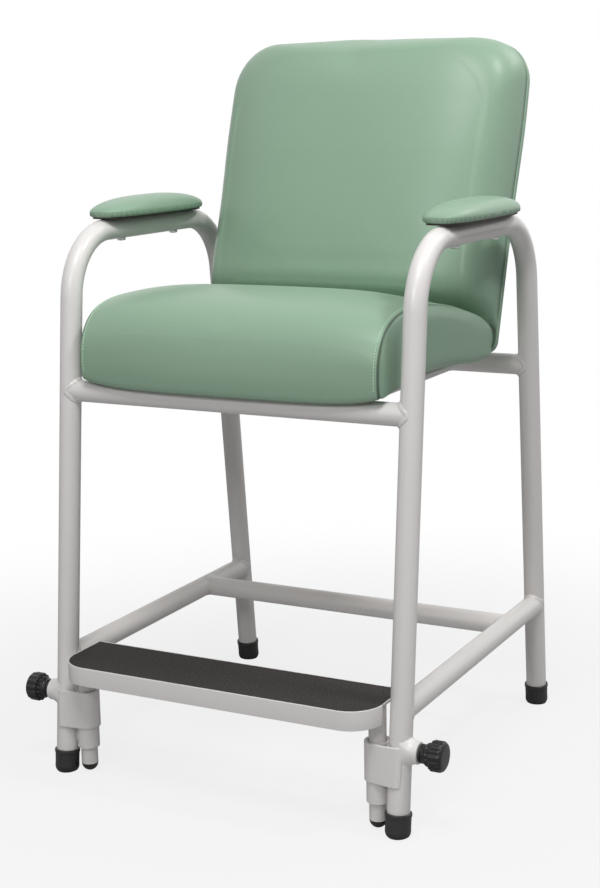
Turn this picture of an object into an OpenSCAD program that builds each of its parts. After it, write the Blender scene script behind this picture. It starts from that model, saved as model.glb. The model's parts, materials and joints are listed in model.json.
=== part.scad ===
// Hip chair: a tall side chair with a welded tube frame, padded seat, back and arms,
// and a footrest that slides in two guide sleeves and is held by two hand knobs.
// Millimetres, Z up, the sitter faces -Y. The origin is on the floor, under the middle
// of the chair's overall box. Left and right are as seen from the front.

/* [Tubing] */
// Outer diameter of the frame tube
tube_d = 28.6; // [25.4:0.1:30]
// Wall thickness of all the tubes
tube_wall = 1.6; // [1.2:0.1:2]

/* [Side frames] */
// Distance between the axes of the left and right side frames
frame_w = 487; // [460:1:540]
// Height of the axis of the arm tubes
arm_z = 713; // [690:1:760]
// Distance between the front and rear feet
foot_span = 504; // [480:1:540]
// Lean of the legs from upright, in degrees
lean = 5.45; // [4:0.05:6.5]
// Radius of the bend from leg to arm, on the tube's axis
bend_r = 88; // [70:1:100]
// Height of the axes of the seat rails
rail_z = 511; // [480:1:530]
// Distance from a side frame's axis in to the axis of the rail under the seat
seat_rail_inset = 119.5; // [105:0.5:135]
// Height of the axes of the low stretchers
stretcher_z = 155; // [145:1:180]
// Distance from the front feet back to the low cross stretcher
cross_y = 379; // [300:1:410]

/* [Leg tips] */
// Height of a leg tip
tip_h = 30; // [24:1:36]
// Wall of a leg tip
tip_wall = 1.9; // [1.5:0.1:3]
// Thickness of the rubber under the tube
tip_floor = 7; // [5:0.5:10]
// Rounding of the lower edge of a leg tip
tip_edge_r = 4.5; // [2:0.5:6]

/* [Seat] */
// Gap from the inner side of the arm tubes to the seat's seams, at the front
seat_front_gap = 19.7; // [15:0.1:30]
// Gap from the inner side of the arm tubes to the seat's seams, at the rear
seat_rear_gap = 15.7; // [13:0.1:30]
// Depth of the seat cushion at its underside
seat_depth = 358; // [330:1:370]
// Height of the seat cushion at its side seams
seat_h = 98; // [80:1:110]
// Distance that the seat's nose stands out from the front rail's axis
seat_nose = 24; // [18:1:34]
// Rise of the seat's crown above its side seams
seat_crown = 14; // [0:0.5:16]
// Distance that the middle of the seat's nose stands out past its corners
seat_bow = 7; // [0:0.5:10]
// Distance that the seat's nose hangs down in front of the rail
seat_sag = 13; // [0:0.5:16]
// Rise of the side panels' lower edge between front and rear
seat_arch = 8; // [0:0.5:10]
// Bulge of the seat's side panels beyond the seams
seat_bulge = 9; // [4:0.5:9]
// Distance from the rails' top up to the cushion's underside
seat_lift = 5.7; // [3:0.1:9]
// Thickness of the seat board
seat_board_t = 12; // [10:0.5:15]

/* [Back] */
// Recline of the back from upright, in degrees
recline = 18; // [12:0.5:20]
// Gap from the inner side of the arm tubes to the back cushion
back_gap = 10.2; // [8:0.1:20]
// Height of the back cushion along its slope
back_h = 435; // [400:1:460]
// Greatest thickness of the back cushion
back_t = 94; // [60:1:95]
// Thickness of the back cushion at its edge, from the rear face to the seam
back_edge_t = 14; // [12:0.5:18]
// Radius of the upper corners of the back
back_corner_r = 55; // [40:1:70]
// Radius of the lower corners of the back
back_low_corner_r = 16; // [10:1:24]
// Width of the rounding from the back's seam to its face
back_round_w = 33; // [28:1:60]
// Height at which the back cushion begins to swell, from its lower edge
back_swell_from = 40; // [30:1:60]
// Height at which the back cushion reaches its full thickness
back_swell_to = 186; // [170:1:260]
// Thickness of the rear panel
back_panel_t = 2.2; // [1.5:0.1:4]
// Outer diameter of the uprights that carry the back
back_post_d = 22.2; // [19:0.1:25.4]
// Length of the uprights above the back's upper screws
back_post_rise = 47.7; // [25:0.1:80]

/* [Arm pads] */
// Length of an arm pad
pad_l = 243; // [200:1:260]
// Width of an arm pad
pad_w = 66; // [56:1:72]
// Thickness of an arm pad
pad_t = 24.8; // [18:0.1:32]
// Distance from the front foot back to the middle of an arm pad
pad_y = 249.5; // [240:0.5:270]
// Distance that each pad is set in from its tube's axis
pad_inset = 2; // [0:0.5:5]
// Thickness of the board under an arm pad
pad_board_t = 9; // [7:0.5:12]
// Distance between the two screws of an arm pad
pad_screw_gap = 134; // [100:1:150]

/* [Footrest] */
// Distance that the footrest's ends reach past the axes of its uprights
pan_overhang = 12; // [11.2:0.1:14]
// Depth of the footrest, front to back
pan_d = 103; // [95:1:130]
// Height of the footrest's skirt
pan_h = 25; // [20:1:32]
// Height of the footrest's rim above the floor, at its lowest
pan_z = 165; // [150:1:190]
// Radius of the footrest's front corners
pan_corner_r = 43; // [30:1:48]
// Thickness of the footrest's sheet
pan_sheet = 1.6; // [1.2:0.1:2.5]
// Height of the rim that stands round the mat
pan_rim = 2.4; // [1.5:0.1:4]
// Thickness of the mat
mat_t = 2; // [1:0.1:3]
// Outer diameter of the footrest's uprights
post_d = 22.2; // [20:0.1:22.4]
// Height of the lower end of the uprights' tubes
post_low_z = 12.5; // [12:0.5:20]
// Travel of the footrest upwards
footrest_travel = 76.2; // [50:0.1:80]

/* [Guide sleeves] */
// Gap between a leg and its guide sleeve
sleeve_gap = 1.9; // [1:0.1:4]
// Height of the sleeve's lower end
sleeve_low_z = 36; // [34:1:50]
// Height of the lower edge of the band that ties the sleeve to the leg
band_low_z = 64.5; // [58:0.5:70]
// Height of the band
band_h = 50; // [40:0.5:60]
// Thickness of the band
band_t = 2.3; // [1.5:0.1:3]

/* [Clamp knobs] */
// Height of the knobs' axis
knob_z = 107; // [95:1:110]
// Diameter of the clamp stud
stud_d = 10; // [8:0.5:11]
// Length of the boss, from the leg's axis
boss_l = 25.5; // [22:0.5:32]
// Diameter of the boss
boss_d = 28; // [22:0.5:28]
// Diameter of the knob's hub
hub_d = 24; // [20:0.5:26]
// Length of the knob's hub
hub_l = 8; // [5:0.5:12]
// Diameter of the knob's shoulder
shoulder_d = 31; // [28:0.5:34]
// Length of the knob's shoulder
shoulder_l = 6; // [3:0.5:9]
// Diameter of the knob's head
head_d = 38; // [36:0.5:44]
// Length of the knob's head
head_l = 18; // [14:0.5:24]
// Number of grip flutes round the head
flutes = 14; // [12:1:24]

/* [Fasteners] */
// Diameter of the screws
screw_d = 6; // [5:0.5:6]
// Diameter of the screw heads
screw_head_d = 12; // [11:0.5:13]
// Height of the screw heads
screw_head_h = 3.4; // [2.5:0.1:4.5]

/* [Hidden] */
$fn = 96;

// How far a cut runs past the solid that it cuts
overrun = 5;
// Gap at a welded or coped joint, and round a screw that is not a fit
fit_gap = 0.05;
// Gap between soft pieces and what they rest on
soft_gap = 0.3;
// Radial clearance of a sliding fit
slide_gap = 0.08;

// Frame
tube_r = tube_d / 2;
tube_bore_r = tube_r - tube_wall;
half_w = frame_w / 2;
turn = 90 - lean;
bend_run = bend_r * tan(turn / 2);
// How much thinner the bend is than the straight tube, and how far the tube laps over it
bend_thin = 0.05;
bend_lap = 1;
rail_top_z = rail_z + tube_r;
arm_top_z = arm_z + tube_r;
function front_y(z) = z * tan(lean);
function rear_y(z) = foot_span - z * tan(lean);
leg_start_z = (tip_floor + fit_gap) * cos(lean);
seat_rail_x = half_w - seat_rail_inset;

// Leg tips
tip_r = tube_r + tip_wall;
tip_flare = tip_h * sin(lean) / 4;

// Guide sleeves and clamps
sleeve_r = tube_r;
sleeve_bore_r = sleeve_r - tube_wall;
sleeve_x = half_w - tube_r - sleeve_gap - sleeve_r;
mech_y = front_y(knob_z);
post_r = post_d / 2;
liner_r = sleeve_bore_r - fit_gap;
liner_bore_r = post_r + slide_gap;
stud_r = stud_d / 2;
stud_hole_r = stud_r + soft_gap;
// Thickness of the pressure pads, and their radius a little under the stud's
pressure_pad_t = 3;
pressure_pad_r = stud_r - slide_gap * 6;
pressure_pad_x = sleeve_x + post_r + soft_gap;
stud_x = pressure_pad_x + pressure_pad_t + fit_gap;
boss_r = boss_d / 2;
boss_end_x = half_w + boss_l;
// Gap between the boss and the knob's hub when the clamp is tight
knob_clearance = 1.2;
knob_x = boss_end_x + knob_clearance;
head_r = head_d / 2;
head_edge_r = head_l / 6;
hub_ring = hub_l / 8;
flute_r = head_d / 20;
band_bore_r = sleeve_r + fit_gap;
band_r = band_bore_r + band_t;
band_reach_x = half_w - tube_r / 4;

// Footrest
pan_l = 2 * (sleeve_x + pan_overhang);
plate_z = pan_z - pan_rim;
plate_low_z = plate_z - pan_sheet;
pan_low_z = pan_z - pan_h;
sleeve_top_z = band_low_z + band_h;
skirt_end_y = mech_y - sqrt(pow(sleeve_r, 2) - pow(pan_l / 2 - pan_sheet - sleeve_x, 2))
    - pan_sheet / 2;
rear_lip_h = pan_h / 2;

// Seat
seat_front_w = frame_w - tube_d - 2 * seat_front_gap;
seat_rear_w = frame_w - tube_d - 2 * seat_rear_gap;
seat_front_y = front_y(rail_z) - seat_nose;
seat_rear_y = seat_front_y + seat_depth;
seat_low_z = rail_top_z + seat_lift;
seat_board_margin = 16;
seat_board_w = seat_front_w - 2 * seat_board_margin;
seat_board_y0 = seat_front_y + seat_board_margin;
seat_board_y1 = seat_rear_y - seat_board_margin;

// Back
back_w = frame_w - tube_d - 2 * back_gap;
back_low_z = seat_low_z + fit_gap * 20;
back_y = seat_rear_y + soft_gap / cos(recline) + back_edge_t / cos(recline)
    + (back_low_z - seat_low_z) * tan(recline);
back_panel_margin = 6;
back_board_t = back_edge_t - back_panel_t - fit_gap * 2;
back_post_r = back_post_d / 2;
back_bolt_shares = [0.22, 0.58];
back_post_top = back_h * back_bolt_shares[1] + back_post_rise;
back_post_tail = back_post_d * 2;

// Arm pads
pad_x = half_w - pad_inset;
pad_board_margin = 5;
pad_lift = 2.4;

// Fasteners
screw_r = screw_d / 2;
screw_head_r = screw_head_d / 2;
screw_hole_r = screw_r + soft_gap;
tee_flange_r = screw_d * 1.5;
tee_flange_t = screw_d / 4;
tee_barrel_r = screw_r + screw_d / 4;

// Overall box, front to back
box_front_y = mech_y - pan_d / 2;
box_rear_y = back_y + back_h * sin(recline);
mid_y = (box_front_y + box_rear_y) / 2;

frame_paint = [0.80, 0.78, 0.77];
vinyl = [0.55, 0.68, 0.59];
rubber = [0.10, 0.10, 0.10];
mat_grey = [0.22, 0.21, 0.21];
wood = [0.72, 0.58, 0.40];
steel = [0.75, 0.76, 0.78];
nylon = [0.86, 0.86, 0.84];

// Placement helpers

// Everything is drawn from the front feet's line and then centred front to back
module centred() translate([0, -mid_y, 0]) children();

// Draws a right-hand piece, or its mirror image on the left
module on_side(side) mirror([side < 0 ? 1 : 0, 0, 0]) children();

// Stands a flat drawing of depth and height up in the plane at x
module side_plane(x) translate([x, 0, 0]) rotate([90, 0, 90]) children();

// A rod along X, along Y and along Z
module x_rod(x0, x1, y, z, r) translate([x0, y, z]) rotate([0, 90, 0]) cylinder(h = x1 - x0, r = r);
module y_rod(x, y0, y1, z, r) translate([x, y0, z]) rotate([-90, 0, 0]) cylinder(h = y1 - y0, r = r);
module z_rod(x, y, z0, z1, r) translate([x, y, z0]) cylinder(h = z1 - z0, r = r);

// A rod between two points of depth and height, in the side plane
module plane_rod(a, b, r) {
    run = b - a;
    translate([a.x, a.y, 0])
        rotate([0, 0, atan2(run.y, run.x)])
            rotate([0, 90, 0])
                cylinder(h = norm(run), r = r);
}

// The reclined plane of the back: x across, y up the slope, z towards the sitter
module back_plane() translate([0, back_y, back_low_z]) rotate([90 - recline, 0, 0]) children();

// Frame tubes

// Half of a side frame's bent tube, from the middle of the arm to a foot, as a solid rod.
// The straight parts lap a little over the bend, which is drawn a hair thinner.
module half_loop(r, foot_z) {
    arm_half = foot_span / 2 - front_y(arm_z) - bend_run;
    leg_l = (arm_z - foot_z) / cos(lean) - bend_run;
    translate([-arm_half, arm_z - bend_r, 0])
        rotate([0, 0, 90]) {
            translate([bend_r, bend_lap, 0])
                rotate([90, 0, 0])
                    cylinder(h = arm_half + bend_lap, r = r);
            rotate_extrude(angle = turn) translate([bend_r, 0]) circle(r - bend_thin);
            rotate([0, 0, turn])
                translate([bend_r, -bend_lap, 0])
                    rotate([-90, 0, 0])
                        cylinder(h = leg_l + bend_lap, r = r);
        }
}

// The whole bent tube of a side frame, as a solid rod of radius r
module side_loop(r, foot_z) {
    translate([foot_span / 2, 0, 0]) {
        half_loop(r, foot_z);
        mirror([1, 0, 0]) half_loop(r, foot_z);
    }
}

// The outside of both legs of one side, for coped joints
module leg_cuts(x) {
    side_plane(x) {
        plane_rod([front_y(0), 0], [front_y(arm_z), arm_z], tube_r + fit_gap);
        plane_rod([rear_y(0), 0], [rear_y(arm_z), arm_z], tube_r + fit_gap);
    }
}

module side_frame(side) {
    color(frame_paint)
        centred()
            difference() {
                side_plane(side * half_w) side_loop(tube_r, leg_start_z);
                side_plane(side * half_w) side_loop(tube_bore_r, leg_start_z - overrun);
                on_side(side)
                    x_rod(half_w - tube_r - overrun, half_w + tube_r + overrun, mech_y, knob_z,
                        stud_hole_r);
                for (i = [-1, 1])
                    z_rod(side * half_w, pad_y + i * pad_screw_gap / 2,
                        arm_z - tube_r - overrun, arm_top_z + overrun, screw_hole_r);
            }
}

module left_side_frame() side_frame(-1);
module right_side_frame() side_frame(1);

// A seat rail or stretcher across the chair, coped to the tubes at its ends
module cross_tube(y, z) {
    difference() {
        x_rod(-half_w, half_w, y, z, tube_r);
        x_rod(-half_w - overrun, half_w + overrun, y, z, tube_bore_r);
        children();
    }
}

module front_seat_rail() {
    color(frame_paint)
        centred()
            cross_tube(front_y(rail_z), rail_z) {
                union() {
                    leg_cuts(half_w);
                    leg_cuts(-half_w);
                }
            }
}

module rear_seat_rail() {
    color(frame_paint)
        centred()
            cross_tube(rear_y(rail_z), rail_z) {
                union() {
                    leg_cuts(half_w);
                    leg_cuts(-half_w);
                }
            }
}

// Depths of the two screws that hold the seat board to each rail
seat_screw_y = [seat_board_y0 + seat_board_margin * 4, seat_board_y1 - seat_board_margin * 4];

module seat_rail(side) {
    color(frame_paint)
        centred()
            difference() {
                y_rod(side * seat_rail_x, front_y(rail_z), rear_y(rail_z), rail_z, tube_r);
                y_rod(side * seat_rail_x, front_y(rail_z) - overrun, rear_y(rail_z) + overrun,
                    rail_z, tube_bore_r);
                x_rod(-half_w, half_w, front_y(rail_z), rail_z, tube_r + fit_gap);
                x_rod(-half_w, half_w, rear_y(rail_z), rail_z, tube_r + fit_gap);
                for (y = seat_screw_y)
                    z_rod(side * seat_rail_x, y, rail_z - tube_r - overrun, rail_top_z + overrun,
                        screw_hole_r);
            }
}

module left_seat_rail() seat_rail(-1);
module right_seat_rail() seat_rail(1);

module side_stretcher(side) {
    color(frame_paint)
        centred()
            difference() {
                y_rod(side * half_w, front_y(stretcher_z), rear_y(stretcher_z), stretcher_z, tube_r);
                y_rod(side * half_w, front_y(stretcher_z) - overrun, rear_y(stretcher_z) + overrun,
                    stretcher_z, tube_bore_r);
                leg_cuts(side * half_w);
            }
}

module left_stretcher() side_stretcher(-1);
module right_stretcher() side_stretcher(1);

module cross_stretcher() {
    color(frame_paint)
        centred()
            cross_tube(cross_y, stretcher_z) {
                for (side = [-1, 1])
                    y_rod(side * half_w, 0, foot_span, stretcher_z, tube_r + fit_gap);
            }
}

// Leg tips

// An upright puck whose lower edge is rounded
module tip_puck() {
    r = tip_r + tip_flare;
    rotate_extrude() {
        square([r - tip_edge_r, tip_h + tip_r]);
        translate([0, tip_edge_r]) square([r, tip_h + tip_r - tip_edge_r]);
        translate([r - tip_edge_r, tip_edge_r]) circle(tip_edge_r);
    }
}

// A rubber cup in line with its leg, cut flat on the floor
module leg_tip(side, foot_y, tilt) {
    color(rubber)
        centred()
            translate([side * half_w, foot_y, 0])
                difference() {
                    intersection() {
                        tip_puck();
                        rotate([tilt, 0, 0])
                            translate([0, 0, -overrun]) cylinder(h = tip_h + overrun, r = tip_r);
                    }
                    rotate([tilt, 0, 0])
                        translate([0, 0, tip_floor]) cylinder(h = tip_h, r = tube_r + fit_gap);
                }
}

module front_left_tip() leg_tip(-1, 0, -lean);
module front_right_tip() leg_tip(1, 0, -lean);
module rear_left_tip() leg_tip(-1, foot_span, lean);
module rear_right_tip() leg_tip(1, foot_span, lean);

// Guide sleeves

module sleeve(side) {
    color(frame_paint)
        centred()
            on_side(side)
                difference() {
                    z_rod(sleeve_x, mech_y, sleeve_low_z, sleeve_top_z, sleeve_r);
                    z_rod(sleeve_x, mech_y, sleeve_low_z - overrun, sleeve_top_z + overrun, sleeve_bore_r);
                    x_rod(sleeve_x, sleeve_x + sleeve_r + overrun, mech_y, knob_z, stud_hole_r);
                }
}

module left_sleeve() sleeve(-1);
module right_sleeve() sleeve(1);

// A plastic liner as long as the sleeve, in which the upright slides
module sleeve_liner(side) {
    color(nylon)
        centred()
            on_side(side)
                difference() {
                    z_rod(sleeve_x, mech_y, sleeve_low_z + tube_wall, sleeve_top_z - tube_wall, liner_r);
                    z_rod(sleeve_x, mech_y, sleeve_low_z - overrun, sleeve_top_z + overrun, liner_bore_r);
                    x_rod(sleeve_x, sleeve_x + sleeve_r + overrun, mech_y, knob_z, stud_hole_r);
                }
}

module left_sleeve_liner() sleeve_liner(-1);
module right_sleeve_liner() sleeve_liner(1);

// A strap bent round the sleeve, whose two ends are welded to the leg
module sleeve_band(side) {
    color(frame_paint)
        centred()
            on_side(side)
                difference() {
                    translate([sleeve_x, mech_y, band_low_z])
                        linear_extrude(band_h)
                            difference() {
                                union() {
                                    circle(band_r);
                                    translate([0, -band_r]) square([band_reach_x - sleeve_x, 2 * band_r]);
                                }
                                circle(band_bore_r);
                                translate([0, -band_bore_r])
                                    square([half_w - sleeve_x, 2 * band_bore_r]);
                            }
                    leg_cuts(half_w);
                }
}

module left_sleeve_band() sleeve_band(-1);
module right_sleeve_band() sleeve_band(1);

// Clamp knobs

// A threaded boss welded to the outer side of the leg
module knob_boss(side) {
    color(frame_paint)
        centred()
            on_side(side)
                difference() {
                    x_rod(half_w, boss_end_x, mech_y, knob_z, boss_r);
                    x_rod(half_w - overrun, boss_end_x + overrun, mech_y, knob_z, stud_r + slide_gap / 2);
                    leg_cuts(half_w);
                }
}

module left_knob_boss() knob_boss(-1);
module right_knob_boss() knob_boss(1);

knob_l = hub_l + shoulder_l + head_l;
stud_end_x = knob_x + knob_l - head_l / 2;
stud_nose_l = stud_d / 5;

module clamp_stud(side) {
    color(steel)
        centred()
            on_side(side) {
                x_rod(stud_x + stud_nose_l, stud_end_x, mech_y, knob_z, stud_r);
                x_rod(stud_x, stud_x + stud_nose_l, mech_y, knob_z, pressure_pad_r - stud_nose_l / 2);
            }
}

module left_clamp_stud() clamp_stud(-1);
module right_clamp_stud() clamp_stud(1);

// Half of the knob's outline: radius across, distance from the hub's face up
module knob_outline() {
    hub_r = hub_d / 2;
    square([hub_r - hub_ring, hub_l]);
    for (i = [0, 2, 4])
        translate([0, i * hub_l / 6]) square([hub_r, hub_l / 6]);
    translate([0, hub_l]) square([shoulder_d / 2, shoulder_l]);
    translate([0, hub_l + shoulder_l]) {
        square([head_r, head_l - head_edge_r]);
        square([head_r - head_edge_r, head_l]);
        translate([head_r - head_edge_r, head_l - head_edge_r]) circle(head_edge_r);
    }
}

module clamp_knob(side) {
    color(rubber)
        centred()
            on_side(side)
                translate([knob_x, mech_y, knob_z])
                    rotate([0, 90, 0])
                        difference() {
                            rotate_extrude() knob_outline();
                            translate([0, 0, -overrun])
                                cylinder(h = stud_end_x - knob_x + overrun + fit_gap,
                                    r = stud_r + fit_gap / 2);
                            for (i = [0 : flutes - 1])
                                rotate([0, 0, i * 360 / flutes])
                                    translate([head_r + flute_r / 3, 0, hub_l + shoulder_l - overrun])
                                        cylinder(h = head_l + 2 * overrun, r = flute_r);
                        }
}

module left_clamp_knob() clamp_knob(-1);
module right_clamp_knob() clamp_knob(1);

// The disc on the stud's nose that bears on the footrest's upright and does not turn
module pressure_pad(side) {
    color(nylon)
        centred()
            on_side(side)
                x_rod(pressure_pad_x, pressure_pad_x + pressure_pad_t, mech_y, knob_z, pressure_pad_r);
}

module left_pressure_pad() pressure_pad(-1);
module right_pressure_pad() pressure_pad(1);

// Footrest

// Plan of the footrest, drawn in by inset on every side, with round front corners
module pan_plan(inset) {
    half_l = pan_l / 2 - inset;
    half_d = pan_d / 2 - inset;
    r = pan_corner_r - inset;
    translate([-half_l + r, -half_d]) square([2 * (half_l - r), 2 * half_d]);
    translate([-half_l, -half_d + r]) square([2 * half_l, 2 * half_d - r]);
    for (side = [-1, 1])
        translate([side * (half_l - r), -half_d + r]) circle(r);
}

// A folded sheet: a plate with a rim, a front skirt that wraps the corners and a rear lip
module footrest_pan() {
    color(frame_paint)
        centred()
            translate([0, mech_y, 0])
                difference() {
                    translate([0, 0, pan_low_z]) linear_extrude(pan_h) pan_plan(0);
                    translate([0, 0, plate_z]) linear_extrude(pan_rim + overrun) pan_plan(pan_sheet);
                    translate([0, 0, pan_low_z - overrun])
                        linear_extrude(plate_low_z - pan_low_z + overrun) pan_plan(pan_sheet);
                    translate([-pan_l, skirt_end_y - mech_y, pan_low_z - overrun])
                        cube([2 * pan_l, pan_d / 2 - pan_sheet - skirt_end_y + mech_y,
                            plate_low_z - pan_low_z + overrun]);
                    translate([-pan_l, pan_d / 2 - pan_sheet - overrun, pan_low_z - overrun])
                        cube([2 * pan_l, pan_sheet + 2 * overrun, pan_h - rear_lip_h + overrun]);
                }
}

module footrest_mat() {
    color(mat_grey)
        centred()
            translate([0, mech_y, plate_z])
                linear_extrude(mat_t) pan_plan(pan_sheet + soft_gap);
}

module footrest_upright(side) {
    color(frame_paint)
        centred()
            on_side(side)
                difference() {
                    z_rod(sleeve_x, mech_y, post_low_z, plate_low_z, post_r);
                    z_rod(sleeve_x, mech_y, post_low_z - overrun, plate_low_z + overrun,
                        post_r - tube_wall);
                }
}

module left_footrest_upright() footrest_upright(-1);
module right_footrest_upright() footrest_upright(1);

upright_tip_drop = 11;
upright_tip_plug = 15;

// A plug with a domed end, cut flat underneath
module upright_tip(side) {
    color(rubber)
        centred()
            on_side(side)
                translate([sleeve_x, mech_y, post_low_z]) {
                    cylinder(h = upright_tip_plug, r = post_r - tube_wall - fit_gap);
                    rotate_extrude()
                        intersection() {
                            circle(post_r);
                            translate([0, -upright_tip_drop]) square([post_r, upright_tip_drop]);
                        }
                }
}

module left_upright_tip() upright_tip(-1);
module right_upright_tip() upright_tip(1);

// Soft forms

// Skins a list of closed rings, all with the same number of points, and closes both ends
module skin(rings) {
    n = len(rings[0]);
    last = len(rings) - 1;
    all_points = [for (ring = rings) each ring];
    ends = [mean(rings[0]), mean(rings[last])];
    first_end = len(all_points);
    sides = [for (i = [0 : last - 1], j = [0 : n - 1])
        let (k = (j + 1) % n, a = i * n + j, b = i * n + k, c = a + n, d = b + n)
            each [[a, b, c], [b, d, c]]];
    caps = [for (j = [0 : n - 1]) let (k = (j + 1) % n)
        each [[first_end, k, j], [first_end + 1, last * n + j, last * n + k]]];
    polyhedron(points = concat(all_points, ends), faces = concat(sides, caps));
}
function mean(points) = total(points) / len(points);
function total(v, i = 0) = i == len(v) - 1 ? v[i] : v[i] + total(v, i + 1);

// Side view of the seat at its seam, from the lip before the rail up over the nose to the
// rear and back along the underside: shares of its depth and height
seat_profile_shares = [[0.0275, 0.012], [0.0265, 0], [0.018, -0.006], [0.009, 0.012],
    [0.003, 0.07], [0, 0.16], [0, 0.27], [0.002, 0.38], [0.007, 0.47], [0.016, 0.56],
    [0.031, 0.66], [0.052, 0.755], [0.078, 0.833], [0.108, 0.892], [0.15, 0.946],
    [0.21, 0.985], [0.29, 1], [0.38, 0.99], [0.47, 0.958], [0.56, 0.91], [0.65, 0.85],
    [0.73, 0.782], [0.8, 0.705], [0.86, 0.625], [0.91, 0.54], [0.95, 0.46], [0.98, 0.38],
    [0.997, 0.29], [1, 0.18], [0.998, 0.08], [0.985, 0.02], [0.965, 0.012], [0.8, 0.012],
    [0.6, 0.012], [0.4, 0.012], [0.2, 0.012], [0.06, 0.012]];
seat_lip_share = 0.027;

// Where along the depth the rear starts to lean with the back
seat_lean_share = 0.75;
// How the crown, bow, sag and arch fade out over the seat's depth, height and width
seat_crown_power = 5;
seat_crown_rise = 2;
seat_crown_fade = 1.6;
seat_bow_fade = 4;
seat_sag_power = 6;
seat_sag_fade = 3;
seat_arch_power = 12;
seat_arch_shares = [0.05, 0.8];
// Height of the middle of the side panels, and how far it drops towards the rear
seat_middle_share = 0.5;
seat_middle_drop_share = 0.08;
// Roundness of the side panels' bulge
seat_bulge_power = 5;
seat_bulge_root = 0.55;

// Width of the seat between its seams, as a share of the half width, front to rear
function seat_half_w(depth_share) = (seat_front_w + (seat_rear_w - seat_front_w) * depth_share) / 2;
function clamped(v) = min(1, max(0, v));

// A point of the seat: across is the share of the half width, and each side panel is drawn
// at across -1 or 1 as rings that shrink towards its middle
function seat_point(p, across, ring, bulge) =
    let (
        lean_by = clamped((p.x - seat_lean_share) / (1 - seat_lean_share)),
        low_by = clamped(1 - p.y * seat_sag_fade),
        arch_by = clamped((p.x - seat_arch_shares[0]) / (seat_arch_shares[1] - seat_arch_shares[0])),
        dome = (1 - pow(abs(across), seat_crown_power)) * clamped(p.y * seat_crown_rise)
            * clamped((1 - p.x) * seat_crown_fade),
        bow = (1 - pow(across, 2)) * clamped(1 - p.x * seat_bow_fade),
        sag = p.x > seat_lip_share ? 0 : (1 - pow(abs(across), seat_sag_power)) * low_by,
        arch = pow(abs(across), seat_arch_power) * sin(180 * arch_by) * low_by,
        y_seam = seat_front_y + p.x * seat_depth + lean_by * p.y * seat_h * tan(recline),
        z_seam = seat_low_z + p.y * seat_h + arch * seat_arch,
        y_mid = seat_front_y + seat_depth / 2,
        z_mid = seat_low_z + seat_h * (seat_middle_share - seat_middle_drop_share * p.x)
    )
    [
        across * seat_half_w(p.x) + sign(across) * bulge,
        y_mid + (y_seam - bow * seat_bow - y_mid) * ring,
        z_mid + (z_seam + dome * seat_crown - sag * seat_sag - z_mid) * ring
    ];

seat_across_shares = [-1, -0.97, -0.91, -0.8, -0.6, -0.3, 0, 0.3, 0.6, 0.8, 0.91, 0.97, 1];
seat_side_shares = [0.97, 0.9, 0.78, 0.55, 0.25];
function seat_side_bulge(ring) = seat_bulge * pow(1 - pow(ring, seat_bulge_power), seat_bulge_root);

function seat_rings() = [
    for (ring = [for (i = [len(seat_side_shares) - 1 : -1 : 0]) seat_side_shares[i]])
        [for (p = seat_profile_shares) seat_point(p, -1, ring, seat_side_bulge(ring))],
    for (across = seat_across_shares)
        [for (p = seat_profile_shares) seat_point(p, across, 1, 0)],
    for (ring = seat_side_shares)
        [for (p = seat_profile_shares) seat_point(p, 1, ring, seat_side_bulge(ring))]
];

module seat_cushion() {
    color(vinyl)
        centred()
            difference() {
                skin(seat_rings());
                seat_board_block(soft_gap);
            }
}

// The seat board's block, larger by gap on every side but its underside
module seat_board_block(gap) {
    translate([-seat_board_w / 2 - gap, seat_board_y0 - gap, rail_top_z + fit_gap])
        cube([seat_board_w + 2 * gap, seat_board_y1 - seat_board_y0 + 2 * gap, seat_board_t + gap]);
}

// Places children at the four seat screws, on the rails' axes
module at_seat_screws() {
    for (side = [-1, 1], y = seat_screw_y)
        translate([side * seat_rail_x, y, 0]) children();
}

// A tee nut whose flange is flush with z = 0 and whose barrel hangs below it
module tee_nut(depth) {
    difference() {
        union() {
            translate([0, 0, -tee_flange_t]) cylinder(h = tee_flange_t, r = tee_flange_r);
            translate([0, 0, -depth]) cylinder(h = depth, r = tee_barrel_r);
        }
        translate([0, 0, -depth - overrun]) cylinder(h = depth + 2 * overrun, r = screw_r + fit_gap);
    }
}

// The hole that a tee nut fills
module tee_nut_hole(depth) {
    translate([0, 0, -tee_flange_t - fit_gap])
        cylinder(h = tee_flange_t + overrun, r = tee_flange_r + fit_gap);
    translate([0, 0, -depth - overrun])
        cylinder(h = depth + overrun, r = tee_barrel_r + fit_gap);
}

// A pan-head screw: its head lies below z = 0 and its shank rises to length
module screw(length) {
    cylinder(h = length, r = screw_r);
    translate([0, 0, -screw_head_h])
        rotate_extrude() {
            translate([0, screw_head_h / 2]) square([screw_head_r, screw_head_h / 2]);
            intersection() {
                translate([0, screw_head_h / 2]) scale([screw_head_r / (screw_head_h / 2), 1])
                    circle(screw_head_h / 2);
                square([screw_head_r, screw_head_h / 2]);
            }
        }
}

seat_board_top_z = rail_top_z + fit_gap + seat_board_t;
tee_depth = seat_board_t - tee_flange_t;

module seat_board() {
    color(wood)
        centred()
            difference() {
                seat_board_block(0);
                translate([0, 0, seat_board_top_z]) at_seat_screws() tee_nut_hole(tee_depth);
            }
}

module seat_tee_nuts() {
    color(steel)
        centred()
            translate([0, 0, seat_board_top_z]) at_seat_screws() tee_nut(tee_depth);
}

module seat_screws() {
    color(steel)
        centred()
            translate([0, 0, rail_z - tube_r - fit_gap])
                at_seat_screws() screw(tube_d + seat_board_t);
}

// Back

// Heights of the points up each side of the back: through the swell, then one above it
back_swell_shares = [0, 0.15, 0.32, 0.55, 0.8, 1];
back_side_heights = concat(
    [for (s = back_swell_shares) back_swell_from + (back_swell_to - back_swell_from) * s],
    [(back_swell_to + back_h - back_corner_r) / 2]
);

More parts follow.
